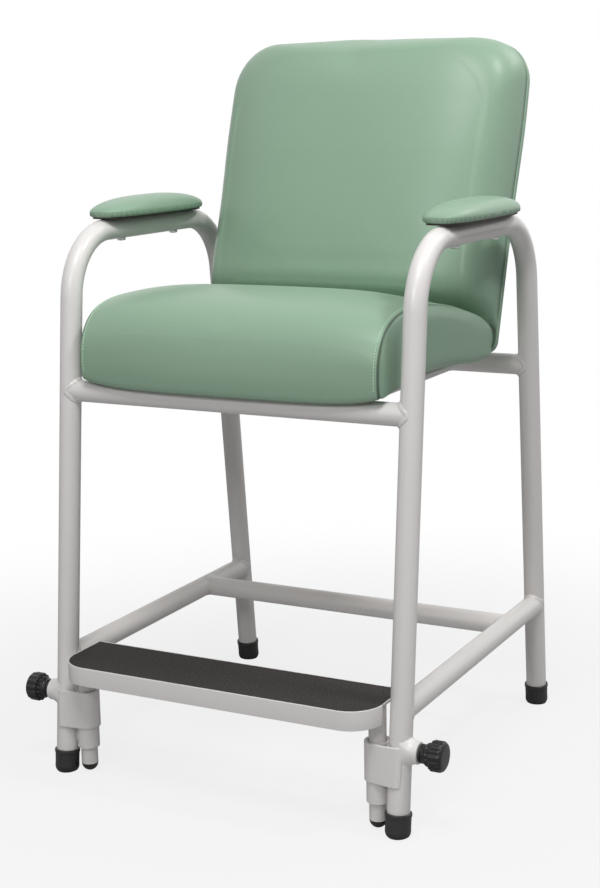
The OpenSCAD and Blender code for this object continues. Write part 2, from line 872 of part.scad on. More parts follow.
// Outline of the back: half its width, its lower and upper edge, and its corners' radii
function back_outline(w, low, top, low_r, top_r) =
    concat(
        [for (a = [-90 : 30 : 0]) [w - low_r + low_r * cos(a), low + low_r + low_r * sin(a)]],
        [for (h = back_side_heights) [w, h]],
        [for (a = [0 : 15 : 90]) [w - top_r + top_r * cos(a), top - top_r + top_r * sin(a)]],
        [for (s = [1 : 3]) [(w - top_r) * (1 - s / 2), top]],
        [for (a = [90 : 15 : 180]) [-w + top_r + top_r * cos(a), top - top_r + top_r * sin(a)]],
        [for (i = [len(back_side_heights) - 1 : -1 : 0]) [-w, back_side_heights[i]]],
        [for (a = [180 : 30 : 270]) [-w + low_r + low_r * cos(a), low + low_r + low_r * sin(a)]],
        [for (s = [1 : 3]) [(w - low_r) * (s / 2 - 1), low]]
    );

// Thickness of the back cushion at a height up its slope: thin behind the seat
function back_fill(q) =
    back_edge_t + (back_t - back_edge_t)
        * sin(90 * clamped((q - back_swell_from) / (back_swell_to - back_swell_from)));

// How far the lower edge is drawn in, and the upper corners grow, with the rounding
back_low_inset_share = 0.6;
back_corner_growth_share = 1.2;
// Where up the back the face's rings close in
back_middle_share = 0.55;
back_rear_inset = 3;
back_round_power = 1.7;

// A ring of the back's face, at a share of the way through the rounding
function back_face_ring(share) =
    let (
        inset = back_round_w * share,
        rise = pow(1 - pow(1 - share, back_round_power), 1 / back_round_power),
        loop = back_outline(back_w / 2 - inset, inset * back_low_inset_share, back_h - inset,
            back_low_corner_r, back_corner_r + inset * back_corner_growth_share)
    )
    [for (p = loop) [p.x, p.y, back_edge_t + (back_fill(p.y) - back_edge_t) * rise]];

// A ring on the face inside the rounding, drawn towards the middle
function back_middle_ring(share) =
    let (ring = back_face_ring(1), middle = [0, back_h * back_middle_share, 0])
    [for (p = ring)
        let (x = middle.x + (p.x - middle.x) * share, y = middle.y + (p.y - middle.y) * share)
            [x, y, back_fill(y)]];

// The ring on the rear face, inside the rounded rear edge
function back_rear_ring() =
    let (loop = back_outline(back_w / 2 - back_rear_inset, back_rear_inset, back_h - back_rear_inset,
        back_low_corner_r - back_rear_inset, back_corner_r - back_rear_inset))
    [for (p = loop) [p.x, p.y, 0]];

back_round_shares = [0, 0.04, 0.12, 0.25, 0.45, 0.7, 1];
back_middle_shares = [0.91, 0.82, 0.7, 0.55, 0.35, 0.15];
function back_rings() = [
    back_rear_ring(),
    [for (p = back_outline(back_w / 2, 0, back_h, back_low_corner_r, back_corner_r))
        [p.x, p.y, back_rear_inset]],
    for (share = back_round_shares) back_face_ring(share),
    for (share = back_middle_shares) back_middle_ring(share)
];

// A flat rounded plate in the back's plane, drawn in by inset
module back_plate(inset, from, thickness) {
    w = back_w / 2 - inset;
    r = back_corner_r - inset;
    translate([0, 0, from])
        linear_extrude(thickness) {
            translate([-w, inset]) square([2 * w, back_h - 2 * inset - r]);
            translate([-w + r, inset]) square([2 * (w - r), back_h - 2 * inset]);
            for (side = [-1, 1])
                translate([side * (w - r), back_h - inset - r]) circle(r);
        }
}

module back_cushion() {
    color(vinyl)
        centred()
            back_plane()
                difference() {
                    skin(back_rings());
                    back_plate(back_panel_margin - soft_gap, -overrun, back_edge_t + overrun);
                }
}

// Places children at the four back screws, on the uprights' axes
module at_back_screws() {
    for (side = [-1, 1], share = back_bolt_shares)
        translate([side * seat_rail_x, back_h * share, 0]) children();
}

back_board_front = back_panel_t + fit_gap + back_board_t;
back_tee_depth = back_board_t - tee_flange_t;

module back_board() {
    color(wood)
        centred()
            back_plane()
                difference() {
                    back_plate(back_panel_margin, back_panel_t + fit_gap, back_board_t);
                    translate([0, 0, back_board_front]) at_back_screws() tee_nut_hole(back_tee_depth);
                }
}

module back_tee_nuts() {
    color(steel)
        centred()
            back_plane()
                translate([0, 0, back_board_front]) at_back_screws() tee_nut(back_tee_depth);
}

module back_panel() {
    color(vinyl)
        centred()
            back_plane()
                difference() {
                    back_plate(back_panel_margin, 0, back_panel_t);
                    translate([0, 0, -overrun]) at_back_screws()
                        cylinder(h = back_panel_t + 2 * overrun, r = screw_hole_r);
                }
}

back_post_z = -back_post_r - fit_gap;

// A tube that stands on the seat rail and leans behind the back
module back_upright(side) {
    color(frame_paint)
        centred()
            difference() {
                back_plane()
                    difference() {
                        translate([side * seat_rail_x, -back_post_tail, back_post_z])
                            rotate([-90, 0, 0])
                                cylinder(h = back_post_top + back_post_tail, r = back_post_r);
                        translate([side * seat_rail_x, -back_post_tail - overrun, back_post_z])
                            rotate([-90, 0, 0])
                                cylinder(h = back_post_top + back_post_tail + 2 * overrun,
                                    r = back_post_r - tube_wall);
                        translate([0, 0, -back_post_d - overrun])
                            at_back_screws() cylinder(h = back_post_d + 2 * overrun, r = screw_hole_r);
                    }
                translate([side * seat_rail_x, 0, rail_z])
                    rotate([-90, 0, 0]) cylinder(h = foot_span, r = tube_r + fit_gap);
                translate([-half_w, 0, rail_z - frame_w]) cube([frame_w, foot_span, frame_w]);
            }
}

module left_back_upright() back_upright(-1);
module right_back_upright() back_upright(1);

back_cap_t = back_post_d / 8;

module back_upright_caps() {
    color(rubber)
        centred()
            back_plane()
                for (side = [-1, 1])
                    translate([side * seat_rail_x, back_post_top, back_post_z])
                        rotate([-90, 0, 0]) {
                            translate([0, 0, fit_gap]) cylinder(h = back_cap_t, r = back_post_r);
                            translate([0, 0, -back_post_r])
                                cylinder(h = back_post_r + back_cap_t,
                                    r = back_post_r - tube_wall - fit_gap);
                        }
}

module back_screws() {
    color(steel)
        centred()
            back_plane()
                translate([0, 0, -back_post_d - 2 * fit_gap])
                    at_back_screws() screw(back_post_d + back_edge_t - fit_gap);
}

// Arm pads

pad_board_low_z = arm_top_z + fit_gap;
pad_low_z = pad_board_low_z + pad_lift;
pad_board_top_z = pad_board_low_z + pad_board_t;
pad_squareness = 3.6;
pad_steps = 48;

// A point on the pad's plan: an oval squared off towards a rectangle
function oval(angle, half_w, half_l) = [
    half_w * sign(cos(angle)) * pow(abs(cos(angle)), 2 / pad_squareness),
    half_l * sign(sin(angle)) * pow(abs(sin(angle)), 2 / pad_squareness)
];
function oval_loop(half_w, half_l) =
    [for (i = [0 : pad_steps - 1]) oval(i * 360 / pad_steps, half_w, half_l)];

// A ring of the pad: size is a share of its plan, rise a share of its thickness
function pad_ring(size, rise) =
    let (
        edge = (1 - size) * pad_w / 2,
        loop = oval_loop(pad_w / 2 - edge, pad_l / 2 - edge)
    )
    [for (p = loop) [p.x, p.y, pad_t * rise]];

pad_ring_shares = [[0.9, 0], [0.965, 0.05], [0.995, 0.17], [1, 0.3], [0.985, 0.45],
    [0.94, 0.62], [0.86, 0.77], [0.74, 0.88], [0.56, 0.95], [0.32, 0.99]];

module pad_board_plate(inset, thickness) {
    linear_extrude(thickness)
        polygon(oval_loop(pad_w / 2 - inset, pad_l / 2 - inset));
}

module arm_pad(side) {
    color(vinyl)
        centred()
            on_side(side)
                translate([pad_x, pad_y, 0])
                    difference() {
                        translate([0, 0, pad_low_z]) skin([for (s = pad_ring_shares) pad_ring(s.x, s.y)]);
                        translate([0, 0, pad_low_z - overrun])
                            pad_board_plate(pad_board_margin - soft_gap,
                                pad_board_top_z + soft_gap - pad_low_z + overrun);
                    }
}

module left_arm_pad() arm_pad(-1);
module right_arm_pad() arm_pad(1);

// Places children at the two screws of one arm pad, on the arm tube's axis
module at_arm_screws(side) {
    for (i = [-1, 1])
        translate([side * half_w, pad_y + i * pad_screw_gap / 2, 0]) children();
}

arm_tee_depth = pad_board_t - tee_flange_t;

module arm_board(side) {
    color(wood)
        centred()
            difference() {
                on_side(side)
                    translate([pad_x, pad_y, pad_board_low_z])
                        pad_board_plate(pad_board_margin, pad_board_t);
                translate([0, 0, pad_board_top_z]) at_arm_screws(side) tee_nut_hole(arm_tee_depth);
            }
}

module left_arm_board() arm_board(-1);
module right_arm_board() arm_board(1);

module arm_tee_nuts() {
    color(steel)
        centred()
            translate([0, 0, pad_board_top_z])
                for (side = [-1, 1]) at_arm_screws(side) tee_nut(arm_tee_depth);
}

module arm_screws() {
    color(steel)
        centred()
            translate([0, 0, arm_z - tube_r - fit_gap])
                for (side = [-1, 1]) at_arm_screws(side) screw(tube_d + pad_board_t);
}

left_side_frame();
right_side_frame();
front_seat_rail();
rear_seat_rail();
left_seat_rail();
right_seat_rail();
left_stretcher();
right_stretcher();
cross_stretcher();
front_left_tip();
front_right_tip();
rear_left_tip();
rear_right_tip();
left_sleeve();
right_sleeve();
left_sleeve_liner();
right_sleeve_liner();
left_sleeve_band();
right_sleeve_band();
left_knob_boss();
right_knob_boss();
left_clamp_stud();
right_clamp_stud();
left_clamp_knob();
right_clamp_knob();
left_pressure_pad();
right_pressure_pad();
footrest_pan();
footrest_mat();
left_footrest_upright();
right_footrest_upright();
left_upright_tip();
right_upright_tip();
seat_board();
seat_cushion();
seat_screws();
seat_tee_nuts();
back_board();
back_cushion();
back_panel();
left_back_upright();
right_back_upright();
back_upright_caps();
back_screws();
back_tee_nuts();
left_arm_board();
right_arm_board();
left_arm_pad();
right_arm_pad();
arm_screws();
arm_tee_nuts();
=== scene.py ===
import json
import math

import bmesh
import bpy
import numpy as np
from mathutils import Matrix, Vector


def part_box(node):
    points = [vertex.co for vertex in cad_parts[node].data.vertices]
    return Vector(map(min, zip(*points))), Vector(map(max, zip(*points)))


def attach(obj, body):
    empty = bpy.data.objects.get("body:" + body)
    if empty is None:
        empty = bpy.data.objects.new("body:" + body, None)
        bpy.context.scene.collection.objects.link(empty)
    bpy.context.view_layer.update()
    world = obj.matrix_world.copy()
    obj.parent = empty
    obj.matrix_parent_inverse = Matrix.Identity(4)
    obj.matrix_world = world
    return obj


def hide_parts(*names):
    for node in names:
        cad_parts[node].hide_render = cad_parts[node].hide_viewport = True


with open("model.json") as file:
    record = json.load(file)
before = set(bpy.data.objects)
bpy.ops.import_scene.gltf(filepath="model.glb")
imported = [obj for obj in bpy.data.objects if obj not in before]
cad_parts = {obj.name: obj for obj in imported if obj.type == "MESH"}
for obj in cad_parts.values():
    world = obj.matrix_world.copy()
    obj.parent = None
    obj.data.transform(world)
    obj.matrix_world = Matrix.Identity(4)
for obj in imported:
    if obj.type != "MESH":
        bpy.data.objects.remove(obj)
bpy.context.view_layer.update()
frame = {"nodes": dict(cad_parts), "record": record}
scene = bpy.context.scene
nodes = frame["nodes"]
print("frame loaded:", len(nodes), "nodes")

# Camera: where the chair is seen from, in degrees and metres from the front feet's line

photo = {
    "azimuth": 27.554, "pitch": 11.738, "roll": -1.084, "distance": 2.20772,
    "height": 888, "focalPixels": 1653.98,
    "sensor": 36, "frontFeetY": -0.245623, "aimBack": 0.2, "aimRight": 0.01353, "aimHeight": 0.42818,
}


def sideways(azimuth, height):
    # the direction from the chair towards a camera or a lamp, both angles in degrees
    azimuth, height = math.radians(azimuth), math.radians(height)
    flat = math.cos(height)
    return Vector((math.sin(azimuth) * flat, -math.cos(azimuth) * flat, math.sin(height)))


def placeCamera(view):
    # the camera looks along "ahead" at the aim point and is rolled about that line
    ahead = -sideways(view["azimuth"], view["pitch"])
    roll = math.radians(view["roll"])
    level = ahead.cross(Vector((0, 0, 1))).normalized()
    upright = level.cross(ahead)
    aim = Vector((0, view["aimBack"] + view["frontFeetY"], view["aimHeight"])) + level * view["aimRight"]
    across = level * math.cos(roll) + upright * math.sin(roll)
    up = upright * math.cos(roll) - level * math.sin(roll)
    lens = bpy.data.cameras.new("photoCamera")
    lens.sensor_fit = "VERTICAL"
    lens.sensor_height = view["sensor"]
    lens.lens = view["sensor"] * view["focalPixels"] / view["height"]
    camera = bpy.data.objects.new("photoCamera", lens)
    turned = Matrix((across, up, -ahead)).transposed().to_4x4()
    camera.matrix_world = Matrix.Translation(aim - ahead * view["distance"]) @ turned
    scene.collection.objects.link(camera)
    scene.camera = camera


placeCamera(photo)
print("camera placed")

# Shader arithmetic


class Signal:
    # one output in a material's nodes; sums and products of signals add the nodes they need
    def __init__(self, tree, node=None, output=0):
        self.tree = tree
        self.node = node
        self.socket = node.outputs[output] if node and node.outputs else None

    def add(self, kind, settings=None, inputs=None, output=0):
        # adds one node: its settings first, then a value or a signal for each named socket
        node = self.tree.nodes.new("ShaderNode" + kind)
        for key, value in (settings or {}).items():
            if key == "stops":
                for stop in value[2:]:
                    node.color_ramp.elements.new(stop[0])
                for element, (place, colour) in zip(node.color_ramp.elements, value):
                    element.position = place
                    element.color = colour
            else:
                setattr(node, key, value)
        for key, value in (inputs or {}).items():
            if isinstance(value, Signal):
                self.tree.links.new(value.socket, node.inputs[key])
            else:
                node.inputs[key].default_value = value
        return Signal(self.tree, node, output)

    def out(self, output):
        return Signal(self.tree, self.node, output)

    def calculate(self, operation, *values):
        return self.add("Math", {"operation": operation}, dict(enumerate(values)))

    def blend(self, first, second):
        # this signal mixes from the first colour at 0 to the second at 1
        return self.add("Mix", {"data_type": "RGBA"}, {0: self, 6: first, 7: second}, output=2)

    def within(self, low, high):
        # this signal from 0 to 1 becomes a number between the two
        return self * (high - low) + low

    def noise(self, scale, detail, **inputs):
        # this signal is the place where the noise is read
        return self.add("TexNoise", inputs={"Vector": self, "Scale": scale, "Detail": detail, **inputs})

    def bump(self, strength, depth):
        # this signal is the height
        return self.add("Bump", inputs={"Strength": strength, "Distance": depth, "Height": self})

    def __add__(self, other):
        return self.calculate("ADD", self, other)

    def __mul__(self, other):
        return self.calculate("MULTIPLY", self, other)


def shade(colour, amount):
    return tuple(min(1, channel * amount) for channel in colour[:3]) + (1,)


def newMaterial(name, build, look):
    # build gets the object coordinates and the look, and returns the sockets of the surface
    material = bpy.data.materials.new(name)
    material.use_nodes = True
    tree = material.node_tree
    tree.nodes.clear()
    place = Signal(tree).add("TexCoord", output="Object")
    surface = place.add("BsdfPrincipled", inputs=build(place, look))
    place.add("OutputMaterial", inputs={"Surface": surface})
    return material


def buildGrainy(place, look):
    # one noise mixes two colours and varies the roughness, and a finer one gives the bump
    tone = place.noise(*look["tone"])
    surface = {"Base Color": tone.blend(*look["colours"]), "Roughness": tone.within(*look["roughness"]),
               **look["sockets"]}
    if "grain" in look:
        surface["Normal"] = place.noise(*look["grain"]).bump(*look["bump"])
    return surface


paintColour = (0.725, 0.703, 0.690, 1)
paint = newMaterial("framePaint", buildGrainy, {
    "colours": (shade(paintColour, 0.97), shade(paintColour, 1.03)), "tone": (9.0, 3.0),
    "roughness": (0.33, 0.41), "grain": (420.0, 2.0), "bump": (0.25, 0.00012),
    "sockets": {"Coat Weight": 0.14, "Coat Roughness": 0.14}})
rubber = newMaterial("blackRubber", buildGrainy, {
    "colours": ((0.010, 0.010, 0.010, 1), (0.022, 0.021, 0.020, 1)), "tone": (60.0, 4.0),
    "roughness": (0.38, 0.58), "grain": (700.0, 3.0), "bump": (0.2, 0.0002), "sockets": {}})
knobPlastic = newMaterial("knobPlastic", buildGrainy, {
    "colours": ((0.010, 0.010, 0.010, 1), (0.016, 0.015, 0.015, 1)), "tone": (500.0, 2.0),
    "roughness": (0.28, 0.36), "grain": (500.0, 2.0), "bump": (0.15, 0.0001),
    "sockets": {"Specular IOR Level": 0.35}})
zinc = newMaterial("zincSteel", buildGrainy, {
    "colours": ((0.50, 0.50, 0.50, 1), (0.68, 0.68, 0.66, 1)), "tone": (300.0, 4.0),
    "roughness": (0.22, 0.42), "sockets": {"Metallic": 1.0}})
nylon = newMaterial("bearingNylon", buildGrainy, {
    "colours": ((0.62, 0.62, 0.60, 1), (0.70, 0.70, 0.68, 1)), "tone": (150.0, 2.0),
    "roughness": (0.4, 0.5), "sockets": {}})


def buildVinyl(place, look):
    pebble = place.add("TexVoronoi", {"feature": "SMOOTH_F1"},
                       {"Vector": place, "Scale": look["pebbles"], "Smoothness": look["pebbleRounding"]})
    mottle = place.noise(*look["mottle"])
    # painted shade: the colour darkens in the seams' grooves, where the attribute is set
    seam = place.add("Attribute", {"attribute_name": "seam"}, output="Fac")
    tone = place.noise(*look["cloud"]) * look["cloudShare"] + mottle * (1 - look["cloudShare"])
    colour = tone.blend(*(shade(look["colour"], amount) for amount in look["shades"]))
    colour = seam.blend(colour, shade(look["colour"], look["seam"]))
    height = pebble * look["pebbleShare"] + place.noise(*look["pores"]) * (1 - look["pebbleShare"])
    return {"Base Color": colour, "Roughness": mottle.within(*look["roughness"]),
            "Normal": height.bump(*look["bump"]), "Specular IOR Level": look["gloss"]}


def buildThread(place, look):
    colours = (shade(look["colour"], amount) for amount in look["threadShades"])
    return {"Base Color": place.noise(*look["twist"]).blend(*colours), "Roughness": look["threadRoughness"]}


# Vinyl of the seat, back and arm pads, and its thread; seam is a painted shade, the colour darkened in the
# seams' grooves
vinylLook = {
    "colour": (0.262, 0.388, 0.284, 1), "shades": (0.93, 1.07), "seam": 0.26, "roughness": (0.28, 0.38),
    "gloss": 0.21, "pebbles": 900.0, "pebbleRounding": 0.6, "pebbleShare": 0.7, "pores": (1980.0, 2.0),
    "mottle": (260.0, 3.0), "cloud": (6.0, 2.0), "cloudShare": 0.5, "bump": (0.35, 0.00022),
    "twist": (1800.0, 2.0), "threadShades": (1.5, 2.1), "threadRoughness": 0.6,
}
vinyl = newMaterial("sageVinyl", buildVinyl, vinylLook)
thread = newMaterial("sewingThread", buildThread, vinylLook)


def buildMat(place, look):
    grit = place.add("TexVoronoi", inputs={"Vector": place, "Scale": look["grit"]})
    speck = place.noise(*look["speck"], Roughness=look["speckContrast"])
    colour = place.add("ValToRGB", {"stops": look["stops"]}, {"Fac": speck})
    height = grit * look["gritShare"] + speck
    return {"Base Color": colour, "Roughness": speck.within(*look["roughness"]),
            "Normal": height.bump(*look["bump"]), "Specular IOR Level": look["gloss"]}


matRubber = newMaterial("matRubber", buildMat, {
    "stops": [(0.35, (0.012, 0.010, 0.010, 1)), (0.68, (0.050, 0.045, 0.043, 1))], "roughness": (0.75, 0.95),
    "gloss": 0.25, "grit": 650.0, "gritShare": 0.5, "speck": (420.0, 4.0), "speckContrast": 0.7,
    "bump": (0.5, 0.0005)})


woodGrain = {"stretch": (40.0, 3.0, 40.0), "scale": 6.0, "layers": 210.0, "layerWarp": 0.2}


def buildWood(place, look):
    # the grain runs along Y, and the layers of plywood follow the height
    stretched = place.add("Mapping", {"vector_type": "POINT"},
                          {"Vector": place, "Scale": woodGrain["stretch"]})
    grain = stretched.noise(woodGrain["scale"], look["detail"], Distortion=look["distortion"])
    tone = grain
    if look["layerShare"]:
        layers = place.add("TexWave", {"wave_type": "BANDS", "bands_direction": "Z"}, {
            "Vector": place, "Scale": woodGrain["layers"], "Distortion": woodGrain["layerWarp"]})
        tone = grain * (1 - look["layerShare"]) + layers * look["layerShare"]
    return {"Base Color": tone.blend(*look["colours"]), "Roughness": grain.within(*look["roughness"]),
            "Normal": grain.bump(*look["bump"])}


plywood = newMaterial("plywood", buildWood, {
    "colours": ((0.36, 0.235, 0.125, 1), (0.62, 0.45, 0.27, 1)), "roughness": (0.6, 0.8), "detail": 6.0,
    "distortion": 0.6, "layerShare": 0.25, "bump": (0.3, 0.0004)})
# the arm boards: their own dark colour, made darker still as painted shade for the gap under the pads
darkBoard = newMaterial("darkBoardPaintedShade", buildWood, {
    "colours": ((0.022, 0.018, 0.015, 1), (0.050, 0.040, 0.033, 1)), "roughness": (0.5, 0.7), "detail": 5.0,
    "distortion": 0.0, "layerShare": 0, "bump": (0.3, 0.0003)})

nodeFinish = {
    "frame_paint": paint, "vinyl": vinyl, "plywood": plywood, "rubber": rubber, "mat": matRubber,
    "knob_plastic": knobPlastic, "bearing_plastic": nylon, "zinc_steel": zinc, "dark_board": darkBoard,
}
finishOfNode = {row["node"]: row["material_slot"] for row in frame["record"]["subparts"]}
for name, item in nodes.items():
    item.data.materials.clear()
    item.data.materials.append(nodeFinish[finishOfNode[name]])
print("materials made")

# Surface helpers


def unit(vectors):
    return vectors / np.maximum(np.linalg.norm(vectors, axis=-1, keepdims=True), 1e-12)


def arcPoints(centre, radius, angles):
    # points in plan round a centre, at angles in radians
    return np.array(centre) + np.column_stack([radius * np.cos(angles), radius * np.sin(angles)])


def levelRing(plan, z):
    # a plan lifted to one height, or to a height for each point
    return np.column_stack([plan, np.broadcast_to(z, len(plan))])


def smoothStep(values, low, high):
    share = np.clip((values - low) / (high - low), 0, 1)
    return share * share * (3 - 2 * share)


def spaced(runs):
    # even places in each run of (first, last, count), where a run starts with the last place before it
    parts = [np.linspace(*run) for run in runs]
    return np.concatenate([part[:-1] for part in parts[:-1]] + parts[-1:])


def gridSkin(rings, poles=True):
    # quads between neighbouring closed rings, and a fan of triangles to the middle of each end ring;
    # all corners are turned outwards if the signed volume comes out negative
    rows, columns = rings.shape[:2]
    points = rings.reshape(-1, 3)
    start = np.arange(rows - 1)[:, None] * columns
    left = np.arange(columns)[None, :]
    right = (left + 1) % columns
    quads = np.stack([start + left, start + right, start + columns + right, start + columns + left], -1)
    quads = quads.reshape(-1, 4)
    fans = np.zeros((0, 3), int)
    if poles:
        points = np.concatenate([points, rings[0].mean(0)[None], rings[-1].mean(0)[None]])
        first, last = rows * columns, rows * columns + 1
        edge = (rows - 1) * columns
        near = np.stack([np.full(columns, first), right[0], left[0]], -1)
        far = np.stack([np.full(columns, last), edge + left[0], edge + right[0]], -1)
        fans = np.concatenate([near, far])
    corners = np.concatenate([quads[:, [0, 1, 2]], quads[:, [0, 2, 3]], fans])
    a, b, c = (points[corners[:, k]] for k in range(3))
    if np.einsum("ij,ij->", a, np.cross(b, c)) < 0:
        quads, fans = quads[:, ::-1], fans[:, ::-1]
    return points, quads, fans


def meshObject(name, parts, material):
    # joins skins, each given as points, quads and triangles, into one smooth mesh
    allPoints, loops, sizes = [], [], []
    shift = 0
    for points, quads, fans in parts:
        allPoints.append(points)
        loops += [(quads + shift).ravel(), (fans + shift).ravel()]
        sizes += [np.full(len(quads), 4), np.full(len(fans), 3)]
        shift += len(points)
    points, loops, sizes = np.concatenate(allPoints), np.concatenate(loops), np.concatenate(sizes)
    mesh = bpy.data.meshes.new(name)
    mesh.vertices.add(len(points))
    mesh.vertices.foreach_set("co", points.astype(np.float32).ravel())
    mesh.loops.add(len(loops))
    mesh.loops.foreach_set("vertex_index", loops.astype(np.int32))
    mesh.polygons.add(len(sizes))
    mesh.polygons.foreach_set("loop_start", (np.cumsum(sizes) - sizes).astype(np.int32))
    mesh.polygons.foreach_set("use_smooth", np.ones(len(sizes), bool))
    mesh.update(calc_edges=True)
    mesh.validate()
    piece = bpy.data.objects.new(name, mesh)
    scene.collection.objects.link(piece)
    mesh.materials.append(material)
    return piece


def faceOutward(piece):
    # turns a closed mesh's faces outwards
    work = bmesh.new()
    work.from_mesh(piece.data)
    bmesh.ops.recalc_face_normals(work, faces=work.faces)
    work.to_mesh(piece.data)
    work.free()


def closedCurve(points, places):
    # smooth closed line through the points: a periodic cubic spline over chord length,
    # read at places from 0 to 1 round the loop
    points = np.asarray(points, float)
    count = len(points)
    chords = np.linalg.norm(np.roll(points, -1, 0) - points, axis=1)
    knots = np.concatenate([[0], np.cumsum(chords)])
    before = np.roll(chords, 1)
    matrix = np.zeros((count, count))
    here = np.arange(count)
    matrix[here, here] = 2 * (before + chords)
    matrix[here, (here - 1) % count] += before
    matrix[here, (here + 1) % count] += chords
    slopes = (np.roll(points, -1, 0) - points) / chords[:, None]
    bends = np.linalg.solve(matrix, 6 * (slopes - np.roll(slopes, 1, 0)))
    along = (np.asarray(places) % 1) * knots[-1]
    k = np.clip(np.searchsorted(knots, along, side="right") - 1, 0, count - 1)
    n = (k + 1) % count
    h = chords[k][:, None]
    u = ((along - knots[k]) / chords[k])[:, None]
    w = 1 - u
    return w * points[k] + u * points[n] + h * h / 6 * ((w ** 3 - w) * bends[k] + (u ** 3 - u) * bends[n])


def loopSkin(rings):
    # a skin whose last ring joins the first again
    points, quads, fans = gridSkin(np.concatenate([rings, rings[:1]]), poles=False)
    total = rings.shape[0] * rings.shape[1]
    return points[:total], np.where(quads >= total, quads - total, quads), fans


def sweepLoop(path, outward, radius, sides):
    # a tube of the given radius along a closed path; outward is a side direction at each point
    ahead = unit(np.roll(path, -1, 0) - np.roll(path, 1, 0))
    out = unit(outward - ahead * np.sum(outward * ahead, -1, keepdims=True))
    side = np.cross(ahead, out)
    angle = np.linspace(0, 2 * math.pi, sides, endpoint=False)[None, :, None]
    return loopSkin(path[:, None] + radius * (np.cos(angle) * out[:, None] + np.sin(angle) * side[:, None]))


def lathe(outline, centre, axis, around, wave=None):
    # a profile of (distance along the axis, radius) turned about the axis; wave scales the radius
    # by angle and by place along the profile
    outline = np.asarray(outline, float)
    axis = np.asarray(axis, float)
    first = unit(np.cross(axis, (0.3, 0.9, 0.2)))
    second = np.cross(axis, first)
    angle = np.linspace(0, 2 * math.pi, around, endpoint=False)
    radius = np.repeat(outline[:, 1:2], around, 1)
    if wave is not None:
        radius = wave(outline[:, 0:1], radius, angle[None, :])
    spoke = np.cos(angle)[:, None] * first + np.sin(angle)[:, None] * second
    along = outline[:, 0][:, None, None] * axis
    return gridSkin(np.asarray(centre) + along + radius[..., None] * spoke[None])


def roundedOutline(corners, steps):
    # a profile of straight lines whose corners (along, radius, rounding) are small arcs
    points = np.array([corner[:2] for corner in corners], float)
    result = [points[:1]]
    for k in range(1, len(points) - 1):
        back, ahead = points[k - 1] - points[k], points[k + 1] - points[k]
        reach = min(corners[k][2], np.linalg.norm(back) * 0.49, np.linalg.norm(ahead) * 0.49)
        t = np.linspace(0, 1, steps)[:, None]
        a, b = points[k] + unit(back) * reach, points[k] + unit(ahead) * reach
        result.append((1 - t) ** 2 * a + 2 * t * (1 - t) * points[k] + t ** 2 * b)
    result.append(points[-1:])
    return np.concatenate(result)


def setAttribute(piece, name, values):
    # one number for each point, for the material to read
    layer = piece.data.attributes.new(name, "FLOAT", "POINT")
    filled = np.zeros(len(piece.data.vertices), np.float32)
    filled[:len(values)] = values
    layer.data.foreach_set("value", filled)


def finishPiece(piece, body, replaced=()):
    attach(piece, body)
    if replaced:
        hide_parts(*replaced)
    return piece


# Cloth

clothLook = {
    "settings": {"quality": 5, "mass": 0.35, "tension_stiffness": 25.0, "compression_stiffness": 25.0,
                 "bending_stiffness": 3.0, "use_pressure": True, "uniform_pressure_force": 4.0},
    "frames": 14, "holdLevels": (0.25, 0.5, 0.75, 1.0), "leastHold": 0.01,
}


def swell(rings, pinned, cap):
    # inflates a coarse closed skin as cloth, with some points held, and returns how far each ring
    # point moves, no further than the cap
    sheet = meshObject("clothSheet", [gridSkin(rings)], vinyl)
    group = sheet.vertex_groups.new(name="held")
    weights = pinned.ravel()
    below = clothLook["leastHold"]
    for level in clothLook["holdLevels"]:
        chosen = np.flatnonzero((weights > below) & (weights <= level))
        group.add(chosen.tolist(), level, "REPLACE")
        below = level
    cloth = sheet.modifiers.new("cloth", "CLOTH")
    cloth.settings.vertex_group_mass = "held"
    for key, value in clothLook["settings"].items():
        setattr(cloth.settings, key, value)
    cloth.settings.effector_weights.gravity = 0
    cloth.point_cache.frame_start = 1
    cloth.point_cache.frame_end = clothLook["frames"]
    for step in range(1, clothLook["frames"] + 1):
        scene.frame_set(step)
    solved = sheet.evaluated_get(bpy.context.evaluated_depsgraph_get()).to_mesh()
    points = np.zeros(len(solved.vertices) * 3, np.float32)
    solved.vertices.foreach_get("co", points)
    moved = points.reshape(-1, 3)[:rings.shape[0] * rings.shape[1]].reshape(rings.shape) - rings
    print("cloth moved up to", round(float(np.linalg.norm(moved, axis=-1).max()) * 1000, 1), "mm")
    bpy.data.objects.remove(sheet)
    scene.frame_set(1)
    length = np.linalg.norm(moved, axis=-1, keepdims=True)
    return moved * np.tanh(length / cap) * cap / np.maximum(length, 1e-9)


def splineWeights(fine, coarse, wrap):
    # rows of cubic B-spline weights that carry values at coarse places over to fine places
    count = len(coarse)
    extended = np.append(coarse, coarse[0] + 1) if wrap else coarse
    index = np.interp(fine, extended, np.arange(len(extended)))
    base = np.floor(index).astype(int)
    f = index - base
    shares = np.stack([(1 - f) ** 3, 3 * f ** 3 - 6 * f ** 2 + 4,
                       -3 * f ** 3 + 3 * f ** 2 + 3 * f + 1, f ** 3]) / 6
    weights = np.zeros((len(fine), count))
    for k in range(4):
        column = (base - 1 + k) % count if wrap else np.clip(base - 1 + k, 0, count - 1)
        np.add.at(weights, (np.arange(len(fine)), column), shares[k])
    return weights


def carryNear(moved, coarse, fine, reach):
    # the cloth's movement at each fine point: a mean of the coarse points' movements, weighted by a
    # Gaussian of their distance
    source, values = coarse.reshape(-1, 3), moved.reshape(-1, 3)
    result = np.empty_like(fine)
    for k, row in enumerate(fine):
        distance = np.sum(row ** 2, -1)[:, None] + np.sum(source ** 2, -1)[None] - 2 * row @ source.T
        weights = np.exp(-distance / (2 * reach * reach))
        result[k] = weights @ values / np.maximum(weights.sum(-1, keepdims=True), 1e-9)
    return result


